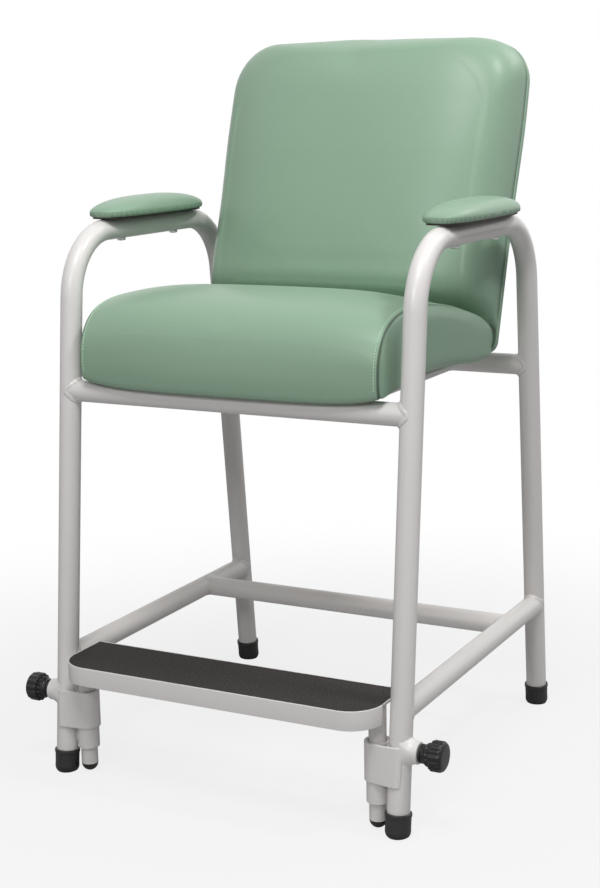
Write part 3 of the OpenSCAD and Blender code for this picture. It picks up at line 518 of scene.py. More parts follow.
def carryOver(moved, rowsFine, rowsCoarse, columnsFine, columnsCoarse):
    # the cloth's movement, read smoothly at the fine grid's places
    down = splineWeights(rowsFine, rowsCoarse, wrap=False)
    around = splineWeights(columnsFine, columnsCoarse, wrap=True)
    return np.einsum("ri,ijc,kj->rkc", down, moved, around)


# Seat cushion

seat = {
    "tubeGapFront": 0.0197, "tubeGapRear": 0.0157, "depth": 0.358, "height": 0.098, "lift": 0.0057,
    "recline": math.radians(18), "reclineStart": 0.75,
    # the main panel's crown, the bow of its front, the sag under it and the rise beside its seams
    "crown": 0.014, "crownPower": 5, "crownFront": 2, "crownRear": 1.6, "bow": 0.007, "bowDepth": 0.25,
    "sag": 0.0095, "sagPower": 6, "sagReach": 0.027, "lowFade": 3,
    "arch": 0.012, "archPower": 12, "archStart": 0.05, "archLength": 0.75,
    # the side panels: how far they bulge, their reach from seam to middle and the middle's height
    "bulge": 0.009, "bulgePowers": (5, 0.55), "panelReach": 0.055, "panelMiddle": 0.46,
    "calmFrom": 1.05, "calmTo": 1.5, "seamDip": 0.0013, "seamWidth": 0.0008,
    "stitchInset": 0.0044, "stitchDip": 0.0003, "stitchWidth": 0.0009, "stitchPitch": 0.0040,
    "stitchLength": 0.0032, "stitchRadius": 0.0006, "stitchRun": (0.035, 0.76), "stitchLift": 0.0001,
    "stitchSides": 6, "clothCap": 0.004, "heldBelow": 0.05, "heldRear": (0.8, 0.95),
    # a stitch's shape: place along it and share of its radius
    "stitchShape": ((-0.5, 0.45), (-0.38, 1), (0.38, 1), (0.5, 0.45)),
    "coarseRows": (27, (0.05, 0.2, 0.4, 0.65, 0.85, 0.95)), "coarseColumns": 84, "columns": 330,
    "edgeRows": ((0, 0.012, 9), (0.012, 0.06, 22)), "mainRows": 110, "panelRows": 30,
    "panelSpacing": (0.98, 1.6), "fill": 0.8,
    # the side view, as shares of depth and height
    "profile": [(0.0275, 0.012), (0.0265, 0), (0.018, -0.006), (0.009, 0.012), (0.003, 0.07), (0, 0.16),
                (0, 0.27), (0.002, 0.38), (0.007, 0.47), (0.016, 0.56), (0.031, 0.66), (0.052, 0.755),
                (0.078, 0.833), (0.108, 0.892), (0.15, 0.946), (0.21, 0.985), (0.29, 1), (0.38, 0.99),
                (0.47, 0.958), (0.56, 0.91), (0.65, 0.85), (0.73, 0.782), (0.8, 0.705), (0.86, 0.625),
                (0.91, 0.54), (0.95, 0.46), (0.98, 0.38), (0.997, 0.29), (1, 0.18), (0.998, 0.08),
                (0.985, 0.02), (0.965, 0.012), (0.8, 0.012), (0.6, 0.012), (0.4, 0.012), (0.2, 0.012),
                (0.06, 0.012)],
}
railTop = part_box("front_seat_rail")[1].z
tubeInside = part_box("right_side_frame")[0].x
seatLowZ = railTop + seat["lift"]
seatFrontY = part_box("seat_cushion")[0].y + seat["bow"]


def seatSurface(rows, profile, normals):
    # rows from -1 to 1 cross the seat between its seams and the profile runs round its side view;
    # past 1 either way the profile shrinks to a point as the side panel bulges out
    t = rows[:, None]
    across = np.clip(t, -1, 1)
    ring = 1 - np.clip(np.abs(t) - 1, 0, 1)
    px, py = profile[None, :, 0], profile[None, :, 1]
    dome = (1 - np.abs(across) ** seat["crownPower"]) * np.clip(py * seat["crownFront"], 0, 1)
    dome = dome * np.clip((1 - px) * seat["crownRear"], 0, 1)
    bow = (1 - across ** 2) * np.clip(1 - px / seat["bowDepth"], 0, 1)
    lowFade = np.clip(1 - py * seat["lowFade"], 0, 1)
    sag = np.where(px > seat["sagReach"], 0, (1 - across ** seat["sagPower"]) * lowFade)
    archPlace = np.clip((px - seat["archStart"]) / seat["archLength"], 0, 1)
    arch = across ** seat["archPower"] * np.sin(math.pi * archPlace) * lowFade
    leanShare = np.clip((px - seat["reclineStart"]) / (1 - seat["reclineStart"]), 0, 1)
    lean = leanShare * py * seat["height"] * math.tan(seat["recline"])
    seamY = seatFrontY + px * seat["depth"] + lean - bow * seat["bow"]
    seamZ = seatLowZ + py * seat["height"] + arch * seat["arch"] + dome * seat["crown"] - sag * seat["sag"]
    middleY = seatFrontY + seat["depth"] / 2
    middleZ = seatLowZ + seat["height"] * seat["panelMiddle"]
    widen = 0.5 + (px - 0.5) * ring
    halfWidth = tubeInside - seat["tubeGapFront"] + (seat["tubeGapFront"] - seat["tubeGapRear"]) * widen
    power, root = seat["bulgePowers"]
    bulge = seat["bulge"] * (1 - ring ** power) ** root
    offSeam = np.where(np.abs(t) < 1, (1 - np.abs(t)) * halfWidth, (np.abs(t) - 1) * seat["panelReach"])
    groove = np.exp(-(offSeam / seat["seamWidth"]) ** 2) * seat["seamDip"]
    stitched = np.exp(-((offSeam - seat["stitchInset"]) / seat["stitchWidth"]) ** 2) * (np.abs(t) < 1)
    inward = groove + stitched * seat["stitchDip"]
    x = across * halfWidth + np.sign(across) * bulge
    y = middleY + (seamY - middleY) * ring - inward * normals[None, :, 0]
    z = middleZ + (seamZ - middleZ) * ring - inward * normals[None, :, 1]
    # the second value follows the groove, for painted shade in the seams
    return np.stack(np.broadcast_arrays(x, y, z), -1), groove / seat["seamDip"]


def seatProfile(places):
    # the side view's points and their outward normals
    size = np.array([seat["depth"], seat["height"]])
    profile = closedCurve(seat["profile"], places)
    step = (closedCurve(seat["profile"], places + 1e-3) - profile) * size
    normals = unit(np.stack([-step[:, 1], step[:, 0]], -1))
    return profile, normals


def makeSeat():
    mainCount, shares = seat["coarseRows"]
    panel = 2 - np.array(shares)[::-1]
    rowsCoarse = np.concatenate([-panel[::-1], np.linspace(-1, 1, mainCount), panel])
    columnsCoarse = np.arange(seat["coarseColumns"]) / seat["coarseColumns"]
    profile, normals = seatProfile(columnsCoarse)
    rings, _ = seatSurface(rowsCoarse, profile, normals)
    onSeam = np.isclose(np.abs(rowsCoarse), 1)[:, None]
    held = np.maximum(onSeam, (profile[:, 1] < seat["heldBelow"])[None, :]) * 1.0
    held = np.maximum(held, smoothStep(profile[:, 0], *seat["heldRear"])[None, :])
    moved = swell(rings, np.broadcast_to(held, rings.shape[:2]).copy(), seat["clothCap"])
    # the rows stand close together beside the seams
    edge = spaced(seat["edgeRows"])
    edge, far = edge[:-1], edge[-1]
    main = np.concatenate([-1 + edge, np.linspace(far - 1, 1 - far, seat["mainRows"]), 1 - edge[::-1]])
    reach, power = seat["panelSpacing"]
    panel = 1 + np.linspace(0, 1, seat["panelRows"])[1:] ** power * reach
    rows = np.concatenate([-panel[::-1], main, panel])
    columns = np.arange(seat["columns"]) / seat["columns"]
    profile, normals = seatProfile(columns)
    rings, seamShade = seatSurface(rows, profile, normals)
    calm = 1 - smoothStep(np.abs(rows), seat["calmFrom"], seat["calmTo"])[:, None, None]
    rings = rings + carryOver(moved, rows, rowsCoarse, columns, columnsCoarse) * calm
    cover = meshObject("seatCover", [gridSkin(rings)], vinyl)
    # painted shade along the seams' grooves, for the material to darken
    setAttribute(cover, "seam", (seamShade * np.ones(rings.shape[:2])).ravel())
    finishPiece(cover, "frame", ["seat_cushion"])
    return rows, rings


seatRows, seatRings = makeSeat()


def stitchRow(path, outward, pitch, length, radius):
    # capsules laid end to end along a path, each half sunk into the cloth
    steps = np.linalg.norm(np.diff(path, axis=0), axis=1)
    along = np.concatenate([[0], np.cumsum(steps)])
    places = np.arange(pitch / 2, along[-1], pitch)
    read = lambda values, where: np.stack([np.interp(where, along, values[:, k]) for k in range(3)], -1)
    centre, ahead = read(path, places), unit(read(path, places + 0.001) - read(path, places - 0.001))
    out = read(outward, places)
    out = unit(out - ahead * np.sum(out * ahead, -1, keepdims=True))
    side = np.cross(ahead, out)
    shares, sizes = np.array(seat["stitchShape"]).T * np.array([[1], [radius]])
    angle = np.linspace(0, 2 * math.pi, seat["stitchSides"], endpoint=False)
    ring = np.cos(angle)[:, None, None] * out + np.sin(angle)[:, None, None] * side
    line = centre + shares[:, None, None] * length * ahead
    grids = line[:, None] + sizes[:, None, None, None] * ring[None]
    return [gridSkin(grids[:, :, k]) for k in range(len(places))]


def makeStitches():
    # the row runs beside each side seam, on the main panel
    parts = []
    columns = np.arange(seatRings.shape[1]) / seatRings.shape[1]
    shown = np.flatnonzero((columns > seat["stitchRun"][0]) & (columns < seat["stitchRun"][1]))
    for side in (-1, 1):
        t = side * (1 - seat["stitchInset"] / (tubeInside - seat["tubeGapFront"]))
        k = int(np.searchsorted(seatRows, t)) - 1
        share = (t - seatRows[k]) / (seatRows[k + 1] - seatRows[k])
        path = seatRings[k] * (1 - share) + seatRings[k + 1] * share
        ahead = np.roll(path, -1, 0) - np.roll(path, 1, 0)
        outward = unit(np.cross(ahead, seatRings[k + 1] - seatRings[k]))
        outward *= np.sign(np.sum(outward * (path - path.mean(0)), -1, keepdims=True))
        path = path + outward * seat["stitchLift"]
        parts += stitchRow(path[shown], outward[shown], seat["stitchPitch"], seat["stitchLength"],
                           seat["stitchRadius"])
    finishPiece(meshObject("seatStitches", parts, thread), "frame")


makeStitches()
print("seat cushion made")

# Back cushion: x across, up the slope, out towards the sitter

back = {
    "recline": math.radians(18), "width": 0.438, "height": 0.435, "edge": 0.014, "topRadius": 0.055,
    "lowRadius": 0.016, "roundWidth": 0.033, "roundPower": 1.95, "panelMargin": 0.006, "holeMargin": 0.0057,
    # rings in the rear panel's hole: share of the hole's plan, and how far out
    "holeRings": ((0.05, 0.0143), (0.97, 0.0143), (1, 0.0138), (1, 0.0012)),
    "middleRise": 0.55, "lowRoundShare": 0.6, "cornerGrowth": 1.2,
    # how thick the cushion is at each height up the slope
    "fillPoints": ((0.042, 0.014), (0.052, 0.060), (0.066, 0.087), (0.085, 0.0955), (0.12, 0.098),
                   (0.26, 0.098), (0.33, 0.0955)),
    "fillSpread": 0.006, "crown": 0.021, "crownMiddle": 0.42, "crownWidth": 0.19, "crownRise": 0.25,
    "crownTop": 0.75, "crownPowers": (3.2, 3), "crownFade": (0.015, 0.06),
    "bulge": 0.003, "bulgeRise": 0.32, "bulgeReach": 0.09,
    # rings of the rear edge, before the welt: how far drawn in, and how far out
    "rearEdge": ((0.0052, 0.0003), (0.004, 0), (0.0022, 0.0002), (0.0008, 0.0014), (0.0002, 0.0035),
                 (0.0004, 0.0065), (0.0003, 0.0095), (0, 0.0122)),
    "clothCap": 0.006, "clothReach": 0.013, "heldRise": (0.06, 0.10), "fixedRings": 12,
    "coarseRound": (0, 0.08, 0.25, 0.5, 0.75, 1),
    "coarseMiddle": (0.93, 0.86, 0.76, 0.64, 0.52, 0.4, 0.28, 0.16, 0.06),
    "fineRound": ((0, 0.08, 8), (0.08, 1, 26)), "fineMiddle": ((0.985, 0.72, 36), (0.72, 0.03, 32)),
    "weltRadius": 0.0016, "weltSides": 10, "seamWidth": 0.0014, "seamShade": 0.8, "seamRings": 26,
    "fill": 0.8,
}
backUp = np.array([0, math.sin(back["recline"]), math.cos(back["recline"])])
backOut = np.array([0, -math.cos(back["recline"]), math.sin(back["recline"])])
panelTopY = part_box("back_panel")[1].y - (back["height"] - back["panelMargin"]) * math.sin(back["recline"])
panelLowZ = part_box("back_panel")[0].z - back["panelMargin"] * math.cos(back["recline"])
backLow = np.array([0, panelTopY, panelLowZ])


def backPlace(x, rise, out):
    # a point in the back's own plane, put where the back stands
    x, rise, out = (values[..., None] for values in np.broadcast_arrays(x, rise, out))
    return backLow + x * np.array([1.0, 0, 0]) + rise * backUp + out * backOut


def cornerPlan(halfWidth, low, high, lowRadius, highRadius, arc=14, side=26, top=34):
    # a rectangle with rounded corners, anticlockwise from the lower right corner: each corner's centre,
    # radius and first angle, the point where the next corner starts and the steps of the line to it
    x, lowX, highX = halfWidth, halfWidth - lowRadius, halfWidth - highRadius
    lowY, highY = low + lowRadius, high - highRadius
    pieces = []
    for centre, radius, start, goal, steps in (((lowX, lowY), lowRadius, -90, (x, highY), side),
                                               ((highX, highY), highRadius, 0, (-highX, high), top),
                                               ((-highX, highY), highRadius, 90, (-x, lowY), side),
                                               ((-lowX, lowY), lowRadius, 180, (lowX, low), top)):
        angle = np.radians(np.append(np.linspace(start, start + 90, arc, endpoint=False), start + 90))
        corner = arcPoints(centre, radius, angle)
        share = np.arange(steps)[:, None] / steps
        pieces += [corner[:-1], corner[-1] + (np.array(goal) - corner[-1]) * share]
    return np.concatenate(pieces)


def backFill(rise):
    # thickness up the slope: straight runs between the given points, averaged over a short distance
    knots = np.array(back["fillPoints"])
    spread = np.linspace(-back["fillSpread"], back["fillSpread"], 7)
    return np.mean([np.interp(rise + shift, knots[:, 0], knots[:, 1]) for shift in spread], 0)


def backCrown(x, rise):
    # how far the face falls away from the middle towards its sides and its top
    topRun = back["height"] - back["roundWidth"] - back["crownRise"]
    side = np.clip(np.abs(x) / back["crownWidth"], 0, 1.2)
    top = np.clip((rise - back["crownRise"]) / topRun, 0, 1.2)
    sidePower, topPower = back["crownPowers"]
    fall = (side ** sidePower + (back["crownTop"] * top) ** topPower) * smoothStep(rise, *back["crownFade"])
    return back["crown"] * (back["crownMiddle"] - fall)


def sideBulge(plan):
    # both sides swell a little at three quarters of the height
    grow = back["bulge"] * np.exp(-((plan[:, 1] - back["bulgeRise"]) / back["bulgeReach"]) ** 2)
    return plan + np.column_stack([grow * plan[:, 0] / (back["width"] / 2), np.zeros(len(plan))])


def backRings(roundShares, middleShares):
    # from the middle of the rear panel's hole round the rear edge, over the rolls and to the face's middle
    half, high = back["width"] / 2, back["height"]
    middle = np.array([0, high * back["middleRise"]])
    rings = []

    def edgePlan(inset, lowShare=1.0, growth=-1.0):
        return sideBulge(cornerPlan(half - inset, inset * lowShare, high - inset, back["lowRadius"],
                                    back["topRadius"] + inset * growth))

    def ring(plan, out):
        rings.append(backPlace(plan[:, 0], plan[:, 1], np.broadcast_to(out, len(plan))))

    margin = back["holeMargin"]
    hole = cornerPlan(half - margin, margin, high - margin, back["lowRadius"], back["topRadius"] - margin)
    for share, out in back["holeRings"]:
        ring(middle + (hole - middle) * share, out)
    for inset, out in back["rearEdge"]:
        ring(edgePlan(inset), out)
    for share in roundShares:
        plan = edgePlan(back["roundWidth"] * share, back["lowRoundShare"], back["cornerGrowth"])
        rise = (1 - (1 - share) ** back["roundPower"]) ** (1 / back["roundPower"])
        out = back["edge"] + (backFill(plan[:, 1]) - back["edge"]) * rise
        ring(plan, out + backCrown(plan[:, 0], plan[:, 1]) * share)
    edge = edgePlan(back["roundWidth"], back["lowRoundShare"], back["cornerGrowth"])
    for share in middleShares:
        plan = middle + (edge - middle) * share
        ring(plan, backFill(plan[:, 1]) + backCrown(plan[:, 0], plan[:, 1]))
    return np.stack(rings)


def makeBack():
    rings = backRings(np.array(back["coarseRound"]), np.array(back["coarseMiddle"]))[:, ::3]
    held = 1 - smoothStep((rings - backLow) @ backUp, *back["heldRise"])
    held[:back["fixedRings"] + 1] = 1
    moved = swell(rings, held, back["clothCap"])
    full = backRings(spaced(back["fineRound"]), spaced(back["fineMiddle"]))
    full = full + carryNear(moved, rings, full, back["clothReach"])
    cover = meshObject("backCover", [gridSkin(full)], vinyl)
    # painted shade along the seam beside the welt, for the material to darken
    distance = (full - backLow) @ backOut - back["edge"]
    nearWelt = (np.arange(len(full)) < back["seamRings"])[:, None] * back["seamShade"]
    setAttribute(cover, "seam", (np.exp(-(distance / back["seamWidth"]) ** 2) * nearWelt).ravel())
    finishPiece(cover, "frame", ["back_cushion"])
    plan = sideBulge(cornerPlan(back["width"] / 2, 0, back["height"], back["lowRadius"], back["topRadius"],
                                arc=28, side=60, top=70))
    line = backPlace(plan[:, 0], plan[:, 1], np.full(len(plan), back["edge"] - 0.001))
    centre = backPlace(np.array(0.0), np.array(back["height"] / 2), np.array(back["edge"]))
    welt = sweepLoop(line, line - centre, back["weltRadius"], back["weltSides"])
    finishPiece(meshObject("backWelt", [welt], vinyl), "frame")


# Painted rim round the seat board: each ring's overhang and its height from the board's underside or top

panRim = {"corner": 0.004, "low": ((0.0001, 0.0004), (0.0009, 0.0004), (0.0013, 0.0012)),
          "high": ((0.0013, -0.002), (0.0001, -0.002))}


def makePanRim():
    low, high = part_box("seat_board")
    rings = []
    for grow, z in [(grow, low.z + lift) for grow, lift in panRim["low"]] + [
            (grow, high.z + lift) for grow, lift in panRim["high"]]:
        plan = cornerPlan(high.x + grow, low.y - grow, high.y + grow, panRim["corner"], panRim["corner"],
                          arc=5, side=8, top=8)
        rings.append(levelRing(plan, z))
    rim = meshObject("seatPanRim", [loopSkin(np.stack(rings))], paint)
    faceOutward(rim)
    finishPiece(rim, "frame")


makeBack()
makePanRim()
print("back cushion made")

# Arm pads

pads = {
    "squareness": 3.2, "rim": 0.27, "domePower": 2.5, "domeRound": 0.6, "domeSpacing": (0.95, 1.9),
    "clothCap": 0.0018,
    "gathers": 46, "gatherDepth": 0.0007, "gatherPlace": 0.1, "gatherHeight": 0.09,
    "domeRings": 58, "columns": 240, "coarseRows": 3, "coarseColumns": 4, "heldRings": 14, "fill": 0.7,
    # each ring under the rim: its scale in plan, how far it is drawn in, and its share of the thickness
    "under": ((0.08, 0, 0.31), (1, 0.0066, 0.31), (1, 0.0056, 0.30), (1, 0.0056, 0.02), (1, 0.0050, 0),
              (1, 0.0036, 0), (1, 0.0022, 0.015), (1, 0.0011, 0.05), (1, 0.0004, 0.12), (1, 0.0001, 0.2)),
}


def padRings(low, high, rows, angles):
    # an oval squared off towards a rectangle, scaled, drawn in and lifted ring by ring
    centre = (low + high) / 2
    halfWidth, halfLength, thickness = (high.x - low.x) / 2, (high.y - low.y) / 2, high.z - low.z
    c, s = np.cos(angles), np.sin(angles)
    power = 2 / pads["squareness"]
    cx, sy = np.sign(c) * np.abs(c) ** power, np.sign(s) * np.abs(s) ** power
    scale, inset, rise = rows[:, 0:1], rows[:, 1:2], rows[:, 2:3]
    gather = np.exp(-((rise - pads["gatherPlace"]) / pads["gatherHeight"]) ** 2) * pads["gatherDepth"]
    gather = gather * np.cos(angles * pads["gathers"])[None]
    x = centre.x + cx[None] * (halfWidth * scale - inset + gather)
    y = centre.y + sy[None] * (halfLength * scale - inset + gather)
    return np.stack(np.broadcast_arrays(x, y, low.z + rise * thickness), -1)


def makePad(name, node):
    # above its rim the pad is a dome: the height falls with a power of the distance from the middle
    low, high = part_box(node)
    count, down, across = pads["domeRings"], pads["coarseRows"], pads["coarseColumns"]
    reach, power = pads["domeSpacing"]
    scale = 1 - reach * np.linspace(0, 1, count) ** power
    rise = pads["rim"] + (1 - pads["rim"]) * (1 - scale ** pads["domePower"]) ** pads["domeRound"]
    rows = np.concatenate([pads["under"], np.column_stack([scale, np.zeros(count), rise])])
    angles = np.linspace(0, 2 * math.pi, pads["columns"], endpoint=False)
    coarse = padRings(low, high, rows[::down], angles[::across])
    rowPlaces = np.arange(len(rows)) * 1.0
    held = np.broadcast_to((rowPlaces[::down] < pads["heldRings"])[:, None] * 1.0, coarse.shape[:2])
    moved = swell(coarse, held, pads["clothCap"])
    columns = np.arange(pads["columns"]) / pads["columns"]
    rings = padRings(low, high, rows, angles)
    rings = rings + carryOver(moved, rowPlaces, rowPlaces[::down], columns, columns[::across])
    finishPiece(meshObject(name, [gridSkin(rings)], vinyl), "frame", [node])


makePad("leftArmCover", "left_arm_pad")
makePad("rightArmCover", "right_arm_pad")
print("arm pads made")

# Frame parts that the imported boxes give: radii, axes and the lean of the legs

tube = {"radius": 0.0143, "smallRadius": 0.0111, "lean": math.radians(5.45), "footSpan": 0.504}
frontFeetY = photo["frontFeetY"]


def middleOf(node):
    low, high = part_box(node)
    return (low + high) / 2


halfWidth = middleOf("right_side_frame").x
railY = middleOf("front_seat_rail").y, middleOf("rear_seat_rail").y
railZ = middleOf("front_seat_rail").z
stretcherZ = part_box("left_stretcher")[0].z + tube["radius"]
crossY = middleOf("cross_stretcher").y
seatRailX = middleOf("right_seat_rail").x
legUp = {"front": np.array([0, math.sin(tube["lean"]), math.cos(tube["lean"])]),
         "rear": np.array([0, -math.sin(tube["lean"]), math.cos(tube["lean"])])}
footY = {"front": frontFeetY, "rear": frontFeetY + tube["footSpan"]}


# Weld fillets

welds = {"railLeg": 0.0034, "small": 0.0028, "ripple": 0.00012, "ripples": 23, "raise": 0.0002,
         "root": 0.0006, "hollow": 0.28, "steps": 72, "rings": 7, "backPostStart": 0.2, "postGap": 0.00005}


def filletRing(start, along, radius, onPoint, onAxis, size):
    # where a tube's end meets another tube: for each line on its surface, the distance along its axis
    # to the other surface solves a quadratic; a concave fillet bridges the two surfaces there
    along, onAxis, onPoint = unit(np.array(along)), unit(np.array(onAxis)), np.array(onPoint)
    first = unit(np.cross(along, onAxis))
    angle = np.linspace(0, 2 * math.pi, welds["steps"], endpoint=False)
    spoke = np.cos(angle)[:, None] * first + np.sin(angle)[:, None] * np.cross(along, first)
    origin = np.array(start) + radius * spoke - onPoint
    flatOrigin = origin - (origin @ onAxis)[:, None] * onAxis
    flatAlong = along - (along @ onAxis) * onAxis
    a = flatAlong @ flatAlong
    b = 2 * flatOrigin @ flatAlong
    c = np.sum(flatOrigin ** 2, -1) - tube["radius"] ** 2
    reach = (-b - np.sqrt(np.maximum(b * b - 4 * a * c, 0))) / (2 * a)
    corner = origin + reach[:, None] * along + onPoint
    normal = unit(flatOrigin + reach[:, None] * flatAlong)
    up = -along * np.ones_like(corner)
    away = unit(spoke - np.sum(spoke * normal, -1, keepdims=True) * normal)
    spread = (size + welds["ripple"] * np.cos(angle * welds["ripples"]))[:, None]
    share = np.linspace(0, 1, welds["rings"])[:, None, None]
    hollow = 2 * share * (1 - share) * welds["hollow"] * (up + away)
    section = (1 - share) ** 2 * up + hollow + share ** 2 * away
    rings = corner[None] + spread * section + welds["raise"] * (normal + spoke) * np.sin(math.pi * share)
    return loopSkin(np.concatenate([rings, corner[None] - welds["root"] * (normal + spoke)[None]]))


def makeWelds():
    parts = []
    right, rearward = np.array([1.0, 0, 0]), np.array([0, 1.0, 0])
    radius, big, small = tube["radius"], welds["railLeg"], welds["small"]
    for side in (-1, 1):
        legX, seatRail = side * halfWidth, side * seatRailX
        for k, (end, toward) in enumerate((("front", -rearward), ("rear", rearward))):
            leg, rail = (legX, footY[end], 0), (0, railY[k], railZ)
            parts += [filletRing(rail, side * right, radius, leg, legUp[end], big),
                      filletRing((legX, 0, stretcherZ), toward, radius, leg, legUp[end], big),
                      filletRing((seatRail, 0, railZ), toward, radius, rail, right, small)]
        post = backPlace(seatRail, welds["backPostStart"], -tube["smallRadius"] - welds["postGap"])
        stretcher = (legX, 0, stretcherZ)
        parts += [filletRing((0, crossY, stretcherZ), side * right, radius, stretcher, rearward, big),
                  filletRing(post, -backUp, tube["smallRadius"], (seatRail, 0, railZ), rearward, small)]
    finishPiece(meshObject("frameWelds", parts, paint), "frame")


makeWelds()
print("welds made")

# Footrest tray: one folded sheet

tray = {"corner": 0.043, "rearCorner": 0.0012, "sheet": 0.0016, "rim": 0.0024, "rimRound": 0.62,
        "skirt": 0.025, "rearLip": 0.0125, "sideEdge": 0.004, "skirtEndY": -0.24603, "edge": 0.0007}


def trayPlan(low, high, inset):
    # the tray from above, anticlockwise, with round front corners; doubled points let the skirt step down
    x, front, rear = (high.x - low.x) / 2 - inset, low.y + inset, high.y - inset
    r, q = tray["corner"] - inset, tray["rearCorner"]
    end, step = tray["skirtEndY"], tray["skirtEndY"] + 0.0002

    def line(a, b, count):
        return np.array(a) + (np.array(b) - np.array(a)) * np.linspace(0, 1, count)[1:-1, None]

    def arc(centre, radius, start):
        return arcPoints(centre, radius, np.radians(np.linspace(start, start + 90, 22)))

    right = np.concatenate([
        arc((x - r, front + r), r, -90), line((x, front + r), (x, end), 3), [(x, end), (x, step)],
        line((x, step), (x, rear - q), 6), arc((x - q, rear - q), q, 0)[::3]])
    return np.concatenate([right, line((x - q, rear), (q - x, rear), 30), right[::-1] * (-1, 1),
                           line((r - x, front), (x - r, front), 60)])


def makeTray():
    low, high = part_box("footrest_pan")
    plan = trayPlan(low, high, 0)
    rear = high.y - tray["rearCorner"] * 1.2
    depth = np.where(plan[:, 1] > rear, tray["rearLip"], tray["sideEdge"])
    depth = np.where(plan[:, 1] <= tray["skirtEndY"], tray["skirt"], depth)
    middle = np.array([0, (low.y + high.y) / 2])
    sheet, e = tray["sheet"], tray["edge"]
    plateTop, plateLow = high.z - tray["rim"], high.z - tray["rim"] - sheet
    bottom = high.z - depth
    rings = []

    def ring(inset, z, share=1.0):
        rings.append(levelRing(middle + (trayPlan(low, high, inset) - middle) * share, z))

    # under the plate: how far inside the skirt, the height and the share of the plan
    for inset, z, share in ((0.003, plateLow, 0.05), (0.003, plateLow, 0.6), (0.001, plateLow, 1),
                            (0, plateLow - 0.0003, 1)):
        ring(sheet + inset, z, share)
    ring(sheet, np.minimum(bottom + e, plateLow - 0.0004))
    for angle in np.radians(np.linspace(0, 180, 9)):
        # a half round along the skirt's lower edge
        ring(sheet / 2 + sheet / 2 * math.cos(angle), bottom + e - e * math.sin(angle))
    ring(0, (bottom + high.z) / 2)
    rimRound = sheet * tray["rimRound"]
    inner = sheet - rimRound
    for angle in np.radians(np.linspace(0, 90, 7)):
        ring(rimRound * (1 - math.cos(angle)), high.z - rimRound * (1 - math.sin(angle)))
    for angle in np.radians(np.linspace(0, 90, 5))[1:]:
        ring(sheet - inner * (1 - math.sin(angle)), high.z - inner * (1 - math.cos(angle)))
    for inset, z, share in ((0, plateTop + 0.0004, 1), (0.0004, plateTop, 1), (0.003, plateTop, 0.6),
                            (0.003, plateTop, 0.05)):
        ring(sheet + inset, z, share)
    finishPiece(meshObject("footrestTray", [gridSkin(np.stack(rings))], paint), "footrest",
                ["footrest_pan"])


makeTray()
print("footrest tray made")

# Clamp knobs, turned shapes along X from the boss outwards

knob = {"hub": 0.012, "hubGroove": 0.0105, "shoulder": 0.0146, "head": 0.019, "flutes": 14,
        "fluteDepth": 0.0014, "hubLength": 0.0078, "shoulderLength": 0.0062, "length": 0.032, "around": 196,
        "valleyPower": 0.8, "gripStart": (0.0088, 0.0108), "gripEnd": (0.0278, 0.0308), "bore": 0.0052,
        "gripRings": (0.0026, 0.0064, 6)}


def knobWave(place, radius, angle):
    # rounded ridges between narrower valleys, growing from the hub and dying out at the rounded face
    grip = smoothStep(place, *knob["gripStart"]) * (1 - smoothStep(place, *knob["gripEnd"]))
    valley = (0.5 - 0.5 * np.cos(angle * knob["flutes"])) ** knob["valleyPower"]
    return radius - knob["fluteDepth"] * grip * (1 - valley)


def makeKnob(name, node, body, side):
    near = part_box(node)[0 if side > 0 else 1].x
    centre = (near, *middleOf(node)[1:])
    g, h, s, r = knob["hubGroove"], knob["hub"], knob["shoulder"], knob["head"]
    a, b, end = knob["hubLength"], knob["hubLength"] + knob["shoulderLength"], knob["length"]
    profile = roundedOutline([
        (0.0001, knob["bore"], 0), (0, h - 0.0006, 0.0004), (0.0004, h, 0.0004), (0.0022, h, 0.0005),
        (0.0026, g, 0.0004), (0.0038, g, 0.0004), (0.0042, h, 0.0005), (0.0060, h, 0.0006),
        (a, h + 0.0006, 0.001), (a + 0.0016, s, 0.0012), (b, s + 0.0002, 0.0008), (b + 0.0012, r, 0.0012),
        (end - 0.0030, r, 0.0028), (end - 0.0004, r - 0.0034, 0.0016), (end, r * 0.6, 0.004),
        (end + 0.0001, 0.0005, 0)], steps=6)
    # more rings along the fluted part
    start, stop, count = knob["gripRings"]
    extra = np.linspace(b + start, end - stop, count)
    cut = int(np.searchsorted(profile[:, 0], extra[0]))
    profile = np.concatenate([profile[:cut], np.column_stack([extra, np.full(count, r)]), profile[cut:]])
    profile = profile[np.argsort(profile[:, 0], kind="stable")]
    shape = lathe(profile, centre, (side, 0, 0), knob["around"], knobWave)
    finishPiece(meshObject(name, [shape], knobPlastic), body, [node])


makeKnob("leftKnob", "left_clamp_knob", "left_screw", -1)
makeKnob("rightKnob", "right_clamp_knob", "right_screw", 1)
print("knobs made")

# Bosses, guide straps and webs beside the front legs

guide = {
    "strapThickness": 0.0023, "strapGap": 0.00005, "frontReach": math.radians(14) + 0.35, "rearReach": 0.35,
    "legGap": 0.0003, "strapEdge": 0.0004, "thinning": (0.02, 1.4), "endSteps": (9, 7), "sleeveSteps": 33,
    "webThickness": 0.004, "webTopGap": 0.002, "webChamfer": 0.0006, "webSink": (0.0009, -0.0026),
    "webBite": 0.0012,
    "bossFlare": 0.0042, "flarePower": 2.2, "bellPower": 0.85, "bossSides": 96, "bossBore": 0.0053,
    "legSink": 0.0004, "wrap": 0.97, "wrapEnd": 0.985,
}


def legAt(z):
    # where the front leg's axis is at a height
    return footY["front"] + z * math.tan(tube["lean"])


